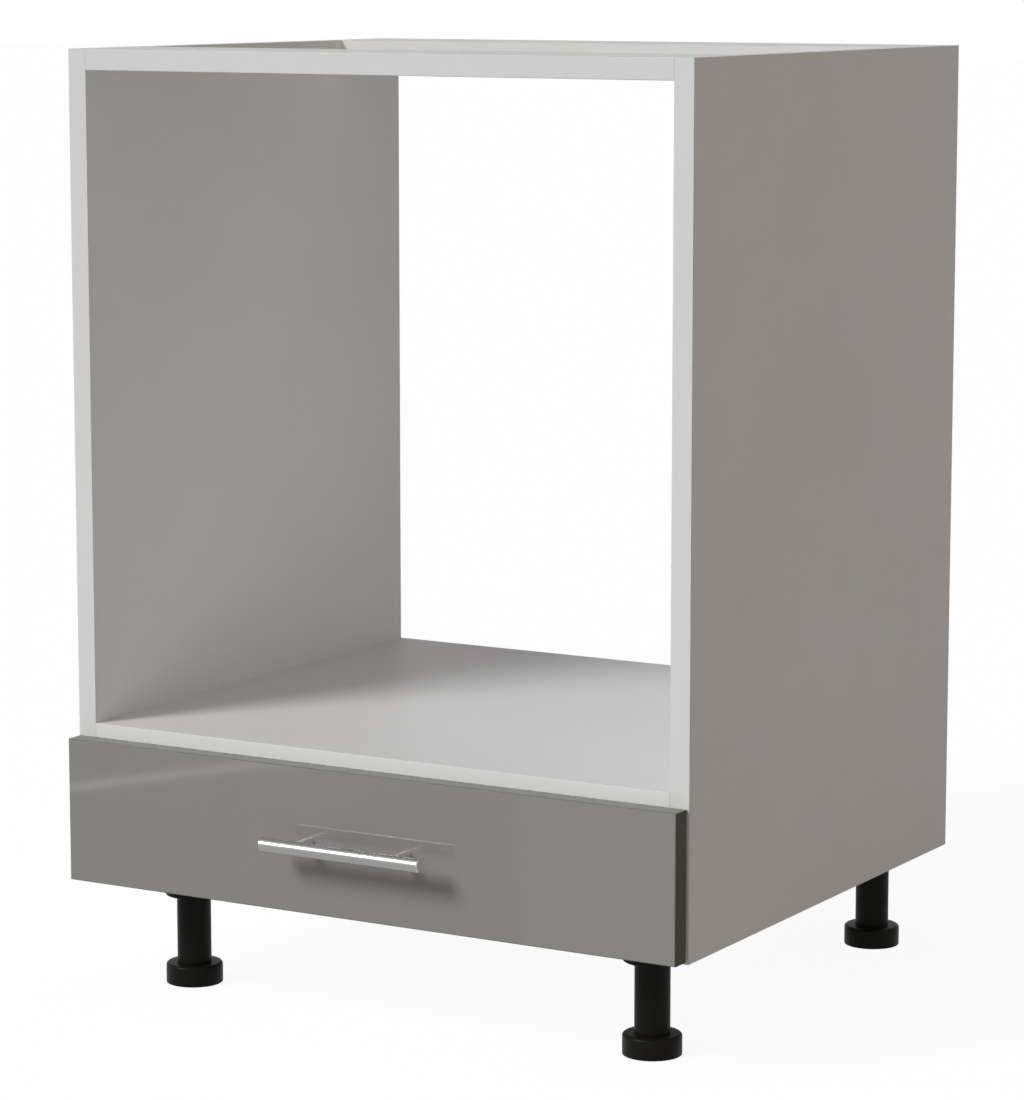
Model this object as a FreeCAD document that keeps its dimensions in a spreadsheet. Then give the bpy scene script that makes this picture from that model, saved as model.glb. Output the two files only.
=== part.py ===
import FreeCAD, Part
import math
import os
import re
import Sketcher

# Oven base cabinet: an open carcass on four adjustable legs, with a shelf that carries a built-in oven
# and a shallow drawer on roller runners below it.
# Millimetres. X runs to the right, Y to the back, Z up. The floor is Z = 0, and the origin is below the
# middle of the whole cabinet. A name with _lift is a height above the underside of its own board.

SIZES = {
    # Carcass boards
    "carcass_width": 600,
    "carcass_height": 720,
    "carcass_depth": 500,
    "board_thickness": 18,
    "edge_band_thickness": 1,
    "edge_band_radius": 0.6,
    "rail_depth": 100,
    "drawer_bay_height": 103,
    "worktop_hole_diameter": 5,
    "worktop_hole_spacing": 400,
    # Cam fittings and dowels between the boards
    "cam_diameter": 15,
    "cam_height": 12.5,
    "cam_slot_width": 1.6,
    "cam_slot_length": 9,
    "cam_slot_depth": 2.5,
    "cam_reach": 34,
    "cam_setback": 80,
    "fitting_pitch": 32,
    "bolt_diameter": 7,
    "bolt_thread_diameter": 6,
    "bolt_thread_length": 11,
    "bolt_neck_diameter": 4,
    "bolt_neck_length": 3,
    "bolt_head_length": 3,
    "bolt_grip": 3,
    "dowel_diameter": 8,
    "dowel_length": 30,
    "dowel_chamfer": 1,
    "dowel_side_depth": 12,
    "fit_clearance": 0.05,
    # Adjustable legs
    "leg_height": 100,
    "leg_side_inset": 70,
    "leg_front_inset": 70,
    "leg_rear_inset": 5,
    "leg_tube_diameter": 30,
    "leg_tube_wall": 2.5,
    "leg_collar_diameter": 50,
    "leg_collar_height": 21,
    "leg_collar_radius": 2,
    "leg_plate_thickness": 4,
    "leg_plate_reach": 45,
    "leg_screw_spread": 30,
    "leg_screw_near": 34,
    "leg_screw_pitch": 22,
    "leg_screw_diameter": 4,
    "leg_screw_length": 16,
    "leg_screw_head_diameter": 8,
    "leg_screw_head_height": 2.5,
    "foot_diameter": 50,
    "foot_height": 18,
    "foot_edge_radius": 2.5,
    "foot_gap": 0.3,
    "foot_travel": 30,
    "stem_engagement": 30,
    "stem_clearance": 0.2,
    # Drawer box
    "drawer_length": 450,
    "drawer_board_thickness": 16,
    "drawer_side_height": 80,
    "drawer_edge_radius": 1.5,
    "drawer_bottom_thickness": 3,
    "drawer_cam_lift": 60,
    "drawer_dowel_lift": 40,
    "groove_depth": 6,
    "groove_lift": 10,
    "groove_clearance": 0.2,
    "bottom_screw_pitch": 200,
    "back_screw_lift": 38,
    "back_screw_pitch": 26,
    "back_screw_diameter": 5,
    "back_screw_length": 50,
    "back_screw_head_diameter": 8,
    "back_screw_head_height": 4,
    # Drawer front and its bar handle
    "front_height": 125,
    "front_thickness": 18,
    "front_side_gap": 2,
    "front_lift": 2,
    "front_edge_radius": 1,
    "bumper_thickness": 1,
    "bumper_diameter": 8,
    "bumper_drop": 14,
    "handle_bar_diameter": 12,
    "handle_bar_length": 156,
    "handle_bar_chamfer": 0.8,
    "handle_pitch": 96,
    "handle_projection": 35,
    "handle_post_diameter": 8,
    "handle_seat_depth": 4,
    "handle_screw_diameter": 4,
    "handle_screw_length": 25,
    "handle_screw_head_diameter": 8,
    "handle_screw_head_height": 2.6,
    "handle_screw_end_gap": 1,
    # Roller runners
    "runner_setback": 3,
    "runner_lift": 6,
    "runner_clearance": 12.5,
    "runner_gap": 0.8,
    "steel_thickness": 1.2,
    "bend_radius": 0.5,
    "runner_notch": 3,
    "runner_slot_length": 12,
    "runner_slot_width": 5,
    "drawer_travel": 340,
    "stop_drop": 8,
    "roller_diameter": 22,
    "roller_gap": 0.3,
    "roller_headroom": 1.2,
    "roller_play": 0.2,
    "roller_hub_diameter": 10,
    "roller_rim": 2.5,
    "roller_recess": 1.5,
    "roller_chamfer": 0.6,
    "front_roller_setback": 26,
    "rear_roller_inset": 16,
    "pin_diameter": 5,
    "pin_clearance": 0.05,
    "pin_head_diameter": 9,
    "pin_head_thickness": 0.9,
    "pin_shoulder_thickness": 0.8,
    "pin_end_gap": 1,
    "runner_screw_diameter": 3.5,
    "runner_screw_length": 13,
    "runner_screw_head_diameter": 7,
    "runner_screw_head_height": 0.5,
    "runner_screw_setback": 90,
    "runner_screw_pitch": 140,
}

# Places and sizes that follow from the driving ones.
DERIVED = {
    # How far the cabinet reaches in front of and behind the front of its carcass
    "front_reach": "bumper_thickness + front_thickness + handle_projection",
    "leg_reach": "carcass_depth - leg_rear_inset + max(foot_diameter; leg_collar_diameter) / 2",
    "rear_reach": "max(carcass_depth; leg_reach)",
    "carcass_front": "(front_reach - rear_reach) / 2",
    # Carcass
    "inside_width": "carcass_width - 2 * board_thickness",
    "inside_face": "inside_width / 2",
    "shelf_under": "board_thickness + drawer_bay_height",
    "rail_under": "carcass_height - board_thickness",
    # Fittings
    "fit_gap": "2 * fit_clearance",
    "dowel_board_depth": "dowel_length - dowel_side_depth",
    "bolt_length": "bolt_thread_length + cam_reach + bolt_grip",
    # Legs
    "leg_x": "carcass_width / 2 - leg_side_inset",
    "leg_front_y": "carcass_front + leg_front_inset",
    "leg_rear_y": "carcass_front + carcass_depth - leg_rear_inset",
    "tube_length": "leg_height - leg_plate_thickness - foot_height - foot_gap",
    "stem_length": "foot_gap + foot_travel + stem_engagement",
    "tube_bore": "leg_tube_diameter - 2 * leg_tube_wall",
    # Runners, measured from the inner face of a side panel and from the underside of the runner
    "runner_under": "leg_height + board_thickness + runner_lift",
    "bend_outside": "bend_radius + steel_thickness",
    "channel_inner": "roller_diameter + roller_gap + roller_headroom",
    "channel_height": "channel_inner + 2 * steel_thickness",
    "channel_reach": "runner_clearance - steel_thickness - runner_gap",
    "track_under": "channel_height + runner_gap",
    "track_reach": "channel_reach - steel_thickness",
    "pin_length": "runner_clearance - steel_thickness - pin_end_gap",
    "roller_start": "steel_thickness + pin_shoulder_thickness + roller_play",
    "roller_width": "pin_length - pin_head_thickness - roller_play - roller_start",
    "front_axle_lift": "track_under - roller_gap - roller_diameter / 2",
    "rear_axle_lift": "steel_thickness + roller_gap + roller_diameter / 2",
    "front_axle_y": "carcass_front + front_roller_setback",
    "rear_axle_y": "drawer_front_back + drawer_length - rear_roller_inset",
    "stop_height": "roller_diameter / 2 + roller_headroom - stop_drop",
    "stop_chord": "sqrt((roller_diameter / 2) ^ 2 - stop_height ^ 2)",
    "runner_front": "carcass_front + runner_setback",
    "stop_back": "rear_axle_y - drawer_travel - stop_chord - roller_gap - runner_front",
    "stop_front": "stop_back - steel_thickness",
    # Drawer
    "drawer_front_back": "carcass_front - bumper_thickness",
    "drawer_outer": "inside_face - runner_clearance",
    "drawer_inner": "drawer_outer - drawer_board_thickness",
    "drawer_under": "runner_under + steel_thickness",
    "bottom_top_lift": "groove_lift + drawer_bottom_thickness",
    "front_width": "carcass_width - 2 * front_side_gap",
    "front_under": "leg_height + front_lift",
    "handle_z": "front_under + front_height / 2",
    "handle_y": "drawer_front_back - front_thickness - handle_projection + handle_bar_diameter / 2",
    "post_length": "handle_projection - handle_bar_diameter + handle_seat_depth",
}

# Which way a turned piece points: its own axis is Z.
X_AXIS = FreeCAD.Vector(1, 0, 0)
Y_AXIS = FreeCAD.Vector(0, 1, 0)
Z_AXIS = FreeCAD.Vector(0, 0, 1)
UPRIGHT = FreeCAD.Rotation()
HALF_TURN = FreeCAD.Rotation(Z_AXIS, 180)
TO_RIGHT = FreeCAD.Rotation(Y_AXIS, Z_AXIS, X_AXIS, "ZXY")
TO_LEFT = FreeCAD.Rotation(Y_AXIS, -Z_AXIS, -X_AXIS, "ZXY")
TO_BACK = FreeCAD.Rotation(X_AXIS, -Z_AXIS, Y_AXIS, "ZXY")
TO_FRONT = FreeCAD.Rotation(X_AXIS, Z_AXIS, -Y_AXIS, "ZXY")

# The faces of a blank board: its origin plane, how far along the plane's normal the face lies in terms of
# the board's own size, and whether a cut from the plane has to be turned round to enter the board.
FACES = {
    "left": ("YZ_Plane", None, True),
    "right": ("YZ_Plane", "({0})", False),
    "front": ("XZ_Plane", None, False),
    "back": ("XZ_Plane", "-({1})", True),
    "under": ("XY_Plane", None, True),
    "top": ("XY_Plane", "({2})", False),
}

doc = FreeCAD.newDocument("oven_base_cabinet")
sheet = doc.addObject("Spreadsheet::Sheet", "Sizes")
for row, (alias, size) in enumerate(SIZES.items(), start=1):
    sheet.set(f"A{row}", alias)
    sheet.set(f"B{row}", str(size))
    sheet.setAlias(f"B{row}", alias)
doc.recompute()

nodes = []

# How near a point lies to a plane or a radius to count as on it
ON_PLANE = 1e-6


def expand(formula):
    """Write a formula in terms of the cells of the sheet."""
    def cell(match):
        word = match.group(0)
        if word in DERIVED:
            return f"({expand(DERIVED[word])})"
        return f"Sizes.{word}" if word in SIZES else word
    return re.sub(r"[a-z_]+", cell, formula)


def value(formula):
    return float(sheet.evalExpression(expand(formula)))


def bind(thing, **formulas):
    for name, formula in formulas.items():
        thing.setExpression(name, expand(formula))


def place(thing, at, turn=UPRIGHT):
    """Turn a thing, then tie its place to the sheet."""
    thing.Placement = FreeCAD.Placement(FreeCAD.Vector(), turn)
    for letter, formula in zip("xyz", at):
        thing.setExpression(f"Placement.Base.{letter}", expand(formula))


def new_body(label, at=("0", "0", "0"), turn=UPRIGHT, is_node=True):
    body = doc.addObject("PartDesign::Body", label)
    body.Label = label
    place(body, at, turn)
    if is_node:
        nodes.append(body)
    return body


def mirrored(label, source):
    """The right-hand twin of a left-hand piece."""
    twin = doc.addObject("Part::Mirroring", label)
    twin.Label = label
    twin.Source = source
    twin.Base = FreeCAD.Vector()
    twin.Normal = X_AXIS
    nodes.append(twin)
    return twin


def group(label, master, places):
    """Equal pieces in one node, each a separate solid."""
    copies = []
    for number, (turn, at) in enumerate(places, start=1):
        copy = doc.addObject("App::Link", f"{label}_{number}")
        copy.LinkedObject = master
        copy.LinkTransform = False
        place(copy, at, turn)
        copies.append(copy)
    node = doc.addObject("Part::Compound", label)
    node.Label = label
    node.Links = copies
    nodes.append(node)
    return node


def new_sketch(body, name, role, offset=None):
    sketch = body.newObject("Sketcher::SketchObject", f"{body.Name}_{name}")
    plane = next(feature for feature in body.Origin.OriginFeatures if feature.Role == role)
    sketch.AttachmentSupport = [(plane, "")]
    sketch.MapMode = "FlatFace"
    if offset is not None:
        sketch.setExpression("AttachmentOffset.Base.z", expand(offset))
    return sketch


def tie_point(sketch, item, end, at):
    """Tie one point of a sketch to its two formulas, measured from the sketch's origin."""
    for kind, axis, formula in zip(("DistanceX", "DistanceY"), (-2, -1), at):
        if formula == "0":
            sketch.addConstraint(Sketcher.Constraint("PointOnObject", item, end, axis))
            continue
        rule = Sketcher.Constraint(kind, -1, 1, item, end, value(formula))
        number = sketch.addConstraint(rule)
        name = f"{kind}_{item}"
        sketch.renameConstraint(number, name)
        sketch.setExpression(f"Constraints.{name}", expand(formula))


def draw_outline(sketch, corners):
    """A closed outline of straight lines through the corners."""
    points = [FreeCAD.Vector(value(across), value(up), 0) for across, up in corners]
    count = len(points)
    for number in range(count):
        sketch.addGeometry(Part.LineSegment(points[number], points[(number + 1) % count]), False)
    for number in range(count):
        sketch.addConstraint(Sketcher.Constraint("Coincident", number, 2, (number + 1) % count, 1))
    for number, corner in enumerate(corners):
        tie_point(sketch, number, 1, corner)


def draw_circles(sketch, centres, diameter):
    for across, up in centres:
        centre = FreeCAD.Vector(value(across), value(up), 0)
        item = sketch.addGeometry(Part.Circle(centre, Z_AXIS, value(diameter) / 2), False)
        tie_point(sketch, item, 3, (across, up))
        number = sketch.addConstraint(Sketcher.Constraint("Diameter", item, value(diameter)))
        sketch.renameConstraint(number, f"Diameter_{item}")
        sketch.setExpression(f"Constraints.Diameter_{item}", expand(diameter))


def draw_slots(sketch, centres, length, width):
    """Slots with round ends that lie along the sketch's own X."""
    radius = value(width) / 2
    up_turn, half_turn = math.pi / 2, math.pi
    for across, up in centres:
        ends = [f"{across} + {length} / 2", f"{across} - {length} / 2"]
        far, near = [FreeCAD.Vector(value(end), value(up), 0) for end in ends]
        rise = FreeCAD.Vector(0, radius, 0)
        arcs = []
        for centre, start in ((far, -up_turn), (near, up_turn)):
            circle = Part.Circle(centre, Z_AXIS, radius)
            arcs.append(sketch.addGeometry(Part.ArcOfCircle(circle, start, start + half_turn), False))
        high = sketch.addGeometry(Part.LineSegment(far + rise, near + rise), False)
        low = sketch.addGeometry(Part.LineSegment(near - rise, far - rise), False)
        for first, second in ((arcs[0], high), (high, arcs[1]), (arcs[1], low), (low, arcs[0])):
            sketch.addConstraint(Sketcher.Constraint("Tangent", first, 2, second, 1))
        for arc, end in zip(arcs, ends):
            tie_point(sketch, arc, 3, (end, up))
        number = sketch.addConstraint(Sketcher.Constraint("Diameter", arcs[0], value(width)))
        sketch.renameConstraint(number, f"Diameter_{arcs[0]}")
        sketch.setExpression(f"Constraints.Diameter_{arcs[0]}", expand(width))


def pad(body, sketch, length, turned=False):
    feature = body.newObject("PartDesign::Pad", f"{sketch.Name}_pad")
    feature.Profile = sketch
    feature.Reversed = turned
    bind(feature, Length=length)
    return feature


def pocket(body, sketch, depth, turned=False):
    feature = body.newObject("PartDesign::Pocket", f"{sketch.Name}_pocket")
    feature.Profile = sketch
    feature.Reversed = turned
    bind(feature, Length=depth)
    return feature


def revolve(body, profile):
    """A turned solid: the profile lists radius and height."""
    sketch = new_sketch(body, "profile", "XZ_Plane")
    draw_outline(sketch, profile)
    feature = body.newObject("PartDesign::Revolution", f"{body.Name}_turn")
    feature.Profile = sketch
    feature.ReferenceAxis = (sketch, ["V_Axis"])
    return feature


def round_edges(body, base, chosen, radius):
    """Round the edges of a feature that the test picks."""
    doc.recompute()
    names = [f"Edge{n}" for n, edge in enumerate(base.Shape.Edges, start=1) if chosen(edge)]
    feature = body.newObject("PartDesign::Fillet", f"{base.Name}_fillet")
    feature.Base = (base, names)
    bind(feature, Radius=radius)
    return feature


def board(label, size, at):
    """A rectangular board with its corner at the body's origin."""
    body = new_body(label, at)
    blank = body.newObject("PartDesign::AdditiveBox", f"{label}_blank")
    length, depth, height = size
    bind(blank, Length=length, Width=depth, Height=height)
    return body


def face_sketch(body, size, face, name):
    role, offset, turned = FACES[face]
    sketch = new_sketch(body, name, role, offset and offset.format(*size))
    return sketch, turned


def drill(body, size, face, name, centres, diameter, depth):
    """Round holes of one kind in one face of a board."""
    sketch, turned = face_sketch(body, size, face, name)
    draw_circles(sketch, centres, diameter)
    pocket(body, sketch, depth, turned)


def rectangle(left, low, right, high):
    return [(left, low), (right, low), (right, high), (left, high)]


def cut_rectangle(body, size, face, name, corners, depth):
    sketch, turned = face_sketch(body, size, face, name)
    draw_outline(sketch, rectangle(*corners))
    pocket(body, sketch, depth, turned)


def screw_master(label, kind, length):
    """A screw that stands on its head, with its own sizes in the sheet."""
    head, shank, rise = f"{kind}_head_diameter / 2", f"{kind}_diameter / 2", f"{kind}_head_height"
    tip = f"{rise} + {length}"
    body = new_body(label, is_node=False)
    revolve(body, [("0", "0"), (head, "0"), (head, rise), (shank, rise), (shank, tip), ("0", tip)])
    return body


# Carcass boards. Every place along the depth is measured from the front of the carcass.
DEEP_CAMS = ["cam_setback", "carcass_depth - cam_setback"]
DEEP_DOWELS = ["cam_setback + fitting_pitch", "carcass_depth - cam_setback - fitting_pitch"]
FRONT_RAIL_MIDDLE = "rail_depth / 2"
REAR_RAIL_MIDDLE = "carcass_depth - rail_depth / 2"


def beside(middle):
    return [f"{middle} - fitting_pitch", f"{middle} + fitting_pitch"]


# Each board between the sides: its underside, front and back edge, cams and dowels.
CROSS_BOARDS = {
    "bottom_panel": ("0", "edge_band_thickness", "carcass_depth", DEEP_CAMS, DEEP_DOWELS),
    "oven_shelf": ("shelf_under", "edge_band_thickness", "carcass_depth", DEEP_CAMS, DEEP_DOWELS),
    "top_rail_front": ("rail_under", "edge_band_thickness", "rail_depth",
                       [FRONT_RAIL_MIDDLE], beside(FRONT_RAIL_MIDDLE)),
    "top_rail_rear": ("rail_under", "carcass_depth - rail_depth", "carcass_depth",
                      [REAR_RAIL_MIDDLE], beside(REAR_RAIL_MIDDLE)),
}
BOLT_HOLE = "bolt_thread_diameter + fit_gap"
DOWEL_HOLE = "dowel_diameter + fit_gap"
BACK_SCREWS = ["back_screw_lift", "back_screw_lift + back_screw_pitch"]
BOTTOM_SCREWS = ["-bottom_screw_pitch", "0", "bottom_screw_pitch"]
RUNNER_SCREWS = [f"runner_screw_setback + {number} * runner_screw_pitch" for number in range(3)]
RUNNER_SLOTS = [f"{y} + runner_screw_pitch / 2" for y in RUNNER_SCREWS[:-1]]


def is_long_front_edge(edge):
    """An edge of a front strip that lies in its front face and runs its whole length."""
    return edge.BoundBox.YMax < ON_PLANE and edge.Length > 2 * value("board_thickness")


def lies_at(edge, **place):
    """Whether both ends of an edge have the coordinates that the formulas give."""
    return all(abs(getattr(end.Point, axis) - value(formula)) < ON_PLANE
               for axis, formula in place.items() for end in edge.Vertexes)


def is_circle(edge, radius):
    return edge.Curve.TypeId == "Part::GeomCircle" and abs(edge.Curve.Radius - radius) < ON_PLANE


def side_panels():
    size = ("board_thickness", "carcass_depth - edge_band_thickness", "carcass_height")
    at = ("-carcass_width / 2", "carcass_front + edge_band_thickness", "leg_height")
    left = board("side_panel_left", size, at)
    bolts, dowels = [], []
    for under, _, _, cam_places, dowel_places in CROSS_BOARDS.values():
        middle = f"{under} + board_thickness / 2"
        bolts += [(f"{y} - edge_band_thickness", middle) for y in cam_places]
        dowels += [(f"{y} - edge_band_thickness", middle) for y in dowel_places]
    drill(left, size, "right", "bolts", bolts, BOLT_HOLE, "bolt_thread_length")
    drill(left, size, "right", "dowels", dowels, DOWEL_HOLE, "dowel_side_depth")
    screw_z = "board_thickness + runner_lift + channel_height / 2"
    screws = [(f"{y} + runner_setback - edge_band_thickness", screw_z) for y in RUNNER_SCREWS]
    drill(left, size, "right", "runner_screws", screws, "runner_screw_diameter + fit_gap",
          "runner_screw_length - steel_thickness")
    mirrored("side_panel_right", left)


def leg_screw_places():
    """Where the leg screws stand, in the cabinet's own frame."""
    places = []
    for x in ("-leg_x", "leg_x"):
        for y, inward in (("leg_front_y", "+"), ("leg_rear_y", "-")):
            for side in ("-", "+"):
                for step in ("leg_screw_near", "leg_screw_near + leg_screw_pitch"):
                    places.append((f"{x} {side} leg_screw_spread / 2", f"{y} {inward} ({step})"))
    return places


def cross_boards():
    for label, (under, front, back, cam_places, dowel_places) in CROSS_BOARDS.items():
        size = ("inside_width", f"{back} - ({front})", "board_thickness")
        body = board(label, size, ("-inside_face", f"carcass_front + {front}", f"leg_height + {under}"))
        bores = [(f"{y} - ({front})", "board_thickness / 2") for y in cam_places]
        pegs = [(f"{y} - ({front})", "board_thickness / 2") for y in dowel_places]
        for end in ("left", "right"):
            drill(body, size, end, f"bores_{end}", bores, "bolt_diameter + fit_gap", "cam_reach")
            drill(body, size, end, f"dowels_{end}", pegs, DOWEL_HOLE, "dowel_board_depth")
        cam_sides = ("cam_reach", "inside_width - cam_reach")
        cams = [(x, f"{y} - ({front})") for x in cam_sides for y in cam_places]
        drill(body, size, "under", "cams", cams, "cam_diameter + fit_gap", "cam_height")
        if label == "bottom_panel":
            holes = [(f"{x} + inside_face", f"{y} - carcass_front - ({front})")
                     for x, y in leg_screw_places()]
            drill(body, size, "under", "leg_screws", holes, "leg_screw_diameter + fit_gap",
                  "leg_screw_length - leg_plate_thickness")
        if label.startswith("top_rail"):
            middle = bores[0][0]
            holes = [(f"inside_face {side} worktop_hole_spacing / 2", middle) for side in "-+"]
            drill(body, size, "under", "worktop_holes", holes, "worktop_hole_diameter", "board_thickness")


def edge_bands():
    """Thin strips glued on the front edges of the boards, with their long front edges eased."""
    across = ("inside_width", "edge_band_thickness", "board_thickness")
    upright = ("board_thickness", "edge_band_thickness", "carcass_height")
    strips = {
        "edge_band_left": (upright, "-carcass_width / 2", "0"),
        "edge_band_right": (upright, "inside_face", "0"),
        "edge_band_bottom": (across, "-inside_face", "0"),
        "edge_band_shelf": (across, "-inside_face", "shelf_under"),
        "edge_band_rail": (across, "-inside_face", "rail_under"),
    }
    for label, (size, x, z) in strips.items():
        body = board(label, size, (x, "carcass_front", f"leg_height + {z}"))
        round_edges(body, body.Tip, is_long_front_edge, "edge_band_radius")


def cam_master(label, bolt_lift):
    """A cam disc that lies on its slotted face, with the bore for its bolt on the left."""
    body = new_body(label, is_node=False)
    disc = body.newObject("PartDesign::AdditiveCylinder", f"{label}_disc")
    bind(disc, Radius="cam_diameter / 2", Height="cam_height")
    bore = new_sketch(body, "bore", "YZ_Plane", "bolt_grip")
    draw_circles(bore, [("0", bolt_lift)], "bolt_diameter + fit_gap")
    pocket(body, bore, "cam_diameter / 2 + bolt_grip")
    slot = new_sketch(body, "slot", "XY_Plane")
    draw_outline(slot, rectangle("-cam_slot_length / 2", "-cam_slot_width / 2",
                                 "cam_slot_length / 2", "cam_slot_width / 2"))
    pocket(body, slot, "cam_slot_depth", True)
    return body


def bolt_master():
    """A cam bolt: thread, shank, then a neck and a head for the cam to grip."""
    thread, shank, neck = "bolt_thread_diameter / 2", "bolt_diameter / 2", "bolt_neck_diameter / 2"
    head_start = "bolt_length - bolt_head_length"
    neck_start = f"{head_start} - bolt_neck_length"
    body = new_body("cam_bolt_master", is_node=False)
    revolve(body, [("0", "0"), (thread, "0"), (thread, "bolt_thread_length"), (shank, "bolt_thread_length"),
                   (shank, neck_start), (neck, neck_start), (neck, head_start), (shank, head_start),
                   (shank, "bolt_length"), ("0", "bolt_length")])
    return body


def dowel_master():
    radius, eased = "dowel_diameter / 2", "dowel_diameter / 2 - dowel_chamfer"
    body = new_body("dowel_master", is_node=False)
    revolve(body, [("0", "0"), (eased, "0"), (radius, "dowel_chamfer"),
                   (radius, "dowel_length - dowel_chamfer"), (eased, "dowel_length"), ("0", "dowel_length")])
    return body


def carcass_fittings(bolt, dowel):
    cam = cam_master("carcass_cam_master", "board_thickness / 2")
    cams, bolts, dowels = [], [], []
    for under, _, _, cam_places, dowel_places in CROSS_BOARDS.values():
        face = f"leg_height + {under}"
        middle = f"{face} + board_thickness / 2"
        for y in cam_places:
            depth = f"carcass_front + {y}"
            cams.append((UPRIGHT, ("-inside_face + cam_reach", depth, face)))
            cams.append((HALF_TURN, ("inside_face - cam_reach", depth, face)))
            bolts.append((TO_RIGHT, ("-inside_face - bolt_thread_length", depth, middle)))
            bolts.append((TO_LEFT, ("inside_face + bolt_thread_length", depth, middle)))
        for y in dowel_places:
            depth = f"carcass_front + {y}"
            dowels.append((TO_RIGHT, ("-inside_face - dowel_side_depth", depth, middle)))
            dowels.append((TO_LEFT, ("inside_face + dowel_side_depth", depth, middle)))
    group("cam_locks", cam, cams)
    group("cam_bolts", bolt, bolts)
    group("dowels", dowel, dowels)


def leg_socket(label, at, turn):
    """Collar that takes the leg tube, with a screw plate that reaches towards the cabinet's middle."""
    body = new_body(label, at, turn)
    collar = body.newObject("PartDesign::AdditiveCylinder", f"{label}_collar")
    bind(collar, Radius="leg_collar_diameter / 2", Height="leg_collar_height")
    place(collar, ("0", "0", "-leg_collar_height"))
    plate = body.newObject("PartDesign::AdditiveBox", f"{label}_plate")
    bind(plate, Length="leg_collar_diameter", Width="leg_plate_reach", Height="leg_plate_thickness")
    place(plate, ("-leg_collar_diameter / 2", "0", "-leg_plate_thickness"))
    plate_end = body.newObject("PartDesign::AdditiveCylinder", f"{label}_plate_end")
    bind(plate_end, Radius="leg_collar_diameter / 2", Height="leg_plate_thickness")
    place(plate_end, ("0", "leg_plate_reach", "-leg_plate_thickness"))
    low_rim = value("-leg_collar_height")
    round_edges(body, plate_end, lambda edge: edge.BoundBox.ZMax < low_rim + ON_PLANE, "leg_collar_radius")
    bore = body.newObject("PartDesign::SubtractiveCylinder", f"{label}_bore")
    bind(bore, Radius="leg_tube_diameter / 2 + fit_clearance",
         Height="leg_collar_height - leg_plate_thickness")
    place(bore, ("0", "0", "-leg_collar_height"))
    screws = [(f"{side}leg_screw_spread / 2", step) for side in ("-", "")
              for step in ("leg_screw_near", "leg_screw_near + leg_screw_pitch")]
    holes = new_sketch(body, "screw_holes", "XY_Plane")
    draw_circles(holes, screws, "leg_screw_diameter + fit_gap")
    pocket(body, holes, "leg_plate_thickness")


def leg_tube(label, at):
    bore, outside = "tube_bore / 2", "leg_tube_diameter / 2"
    body = new_body(label, at)
    revolve(body, [(bore, "0"), (outside, "0"), (outside, "tube_length"), (bore, "tube_length")])


def foot(label, at):
    """Round foot on the stem that screws up into the leg tube."""
    rim, stem, top = "foot_diameter / 2", "tube_bore / 2 - stem_clearance", "foot_height + stem_length"
    body = new_body(label, at)
    turned = revolve(body, [("0", "0"), (rim, "0"), (rim, "foot_height"), (stem, "foot_height"),
                            (stem, top), ("0", top)])
    round_edges(body, turned, lambda edge: is_circle(edge, value(rim)), "foot_edge_radius")


def legs():
    corners = {
        "front_left": ("-leg_x", "leg_front_y", UPRIGHT),
        "front_right": ("leg_x", "leg_front_y", UPRIGHT),
        "rear_left": ("-leg_x", "leg_rear_y", HALF_TURN),
        "rear_right": ("leg_x", "leg_rear_y", HALF_TURN),
    }
    for corner, (x, y, turn) in corners.items():
        leg_socket(f"leg_socket_{corner}", (x, y, "leg_height"), turn)
        leg_tube(f"leg_tube_{corner}", (x, y, "foot_height + foot_gap"))
        foot(f"foot_{corner}", (x, y, "0"))
    screw = screw_master("leg_screw_master", "leg_screw", "leg_screw_length")
    head = "leg_height - leg_plate_thickness - leg_screw_head_height"
    group("leg_screws", screw, [(UPRIGHT, (x, y, head)) for x, y in leg_screw_places()])


def bend(body, outer, inner):
    """Round the long bends of a sheet profile, outside and inside."""
    doc.recompute()
    outside = round_edges(body, body.Tip, lambda edge: any(lies_at(edge, x=x, z=z) for x, z in outer),
                          "bend_outside")
    round_edges(body, outside, lambda edge: any(lies_at(edge, x=x, z=z) for x, z in inner), "bend_radius")


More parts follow.
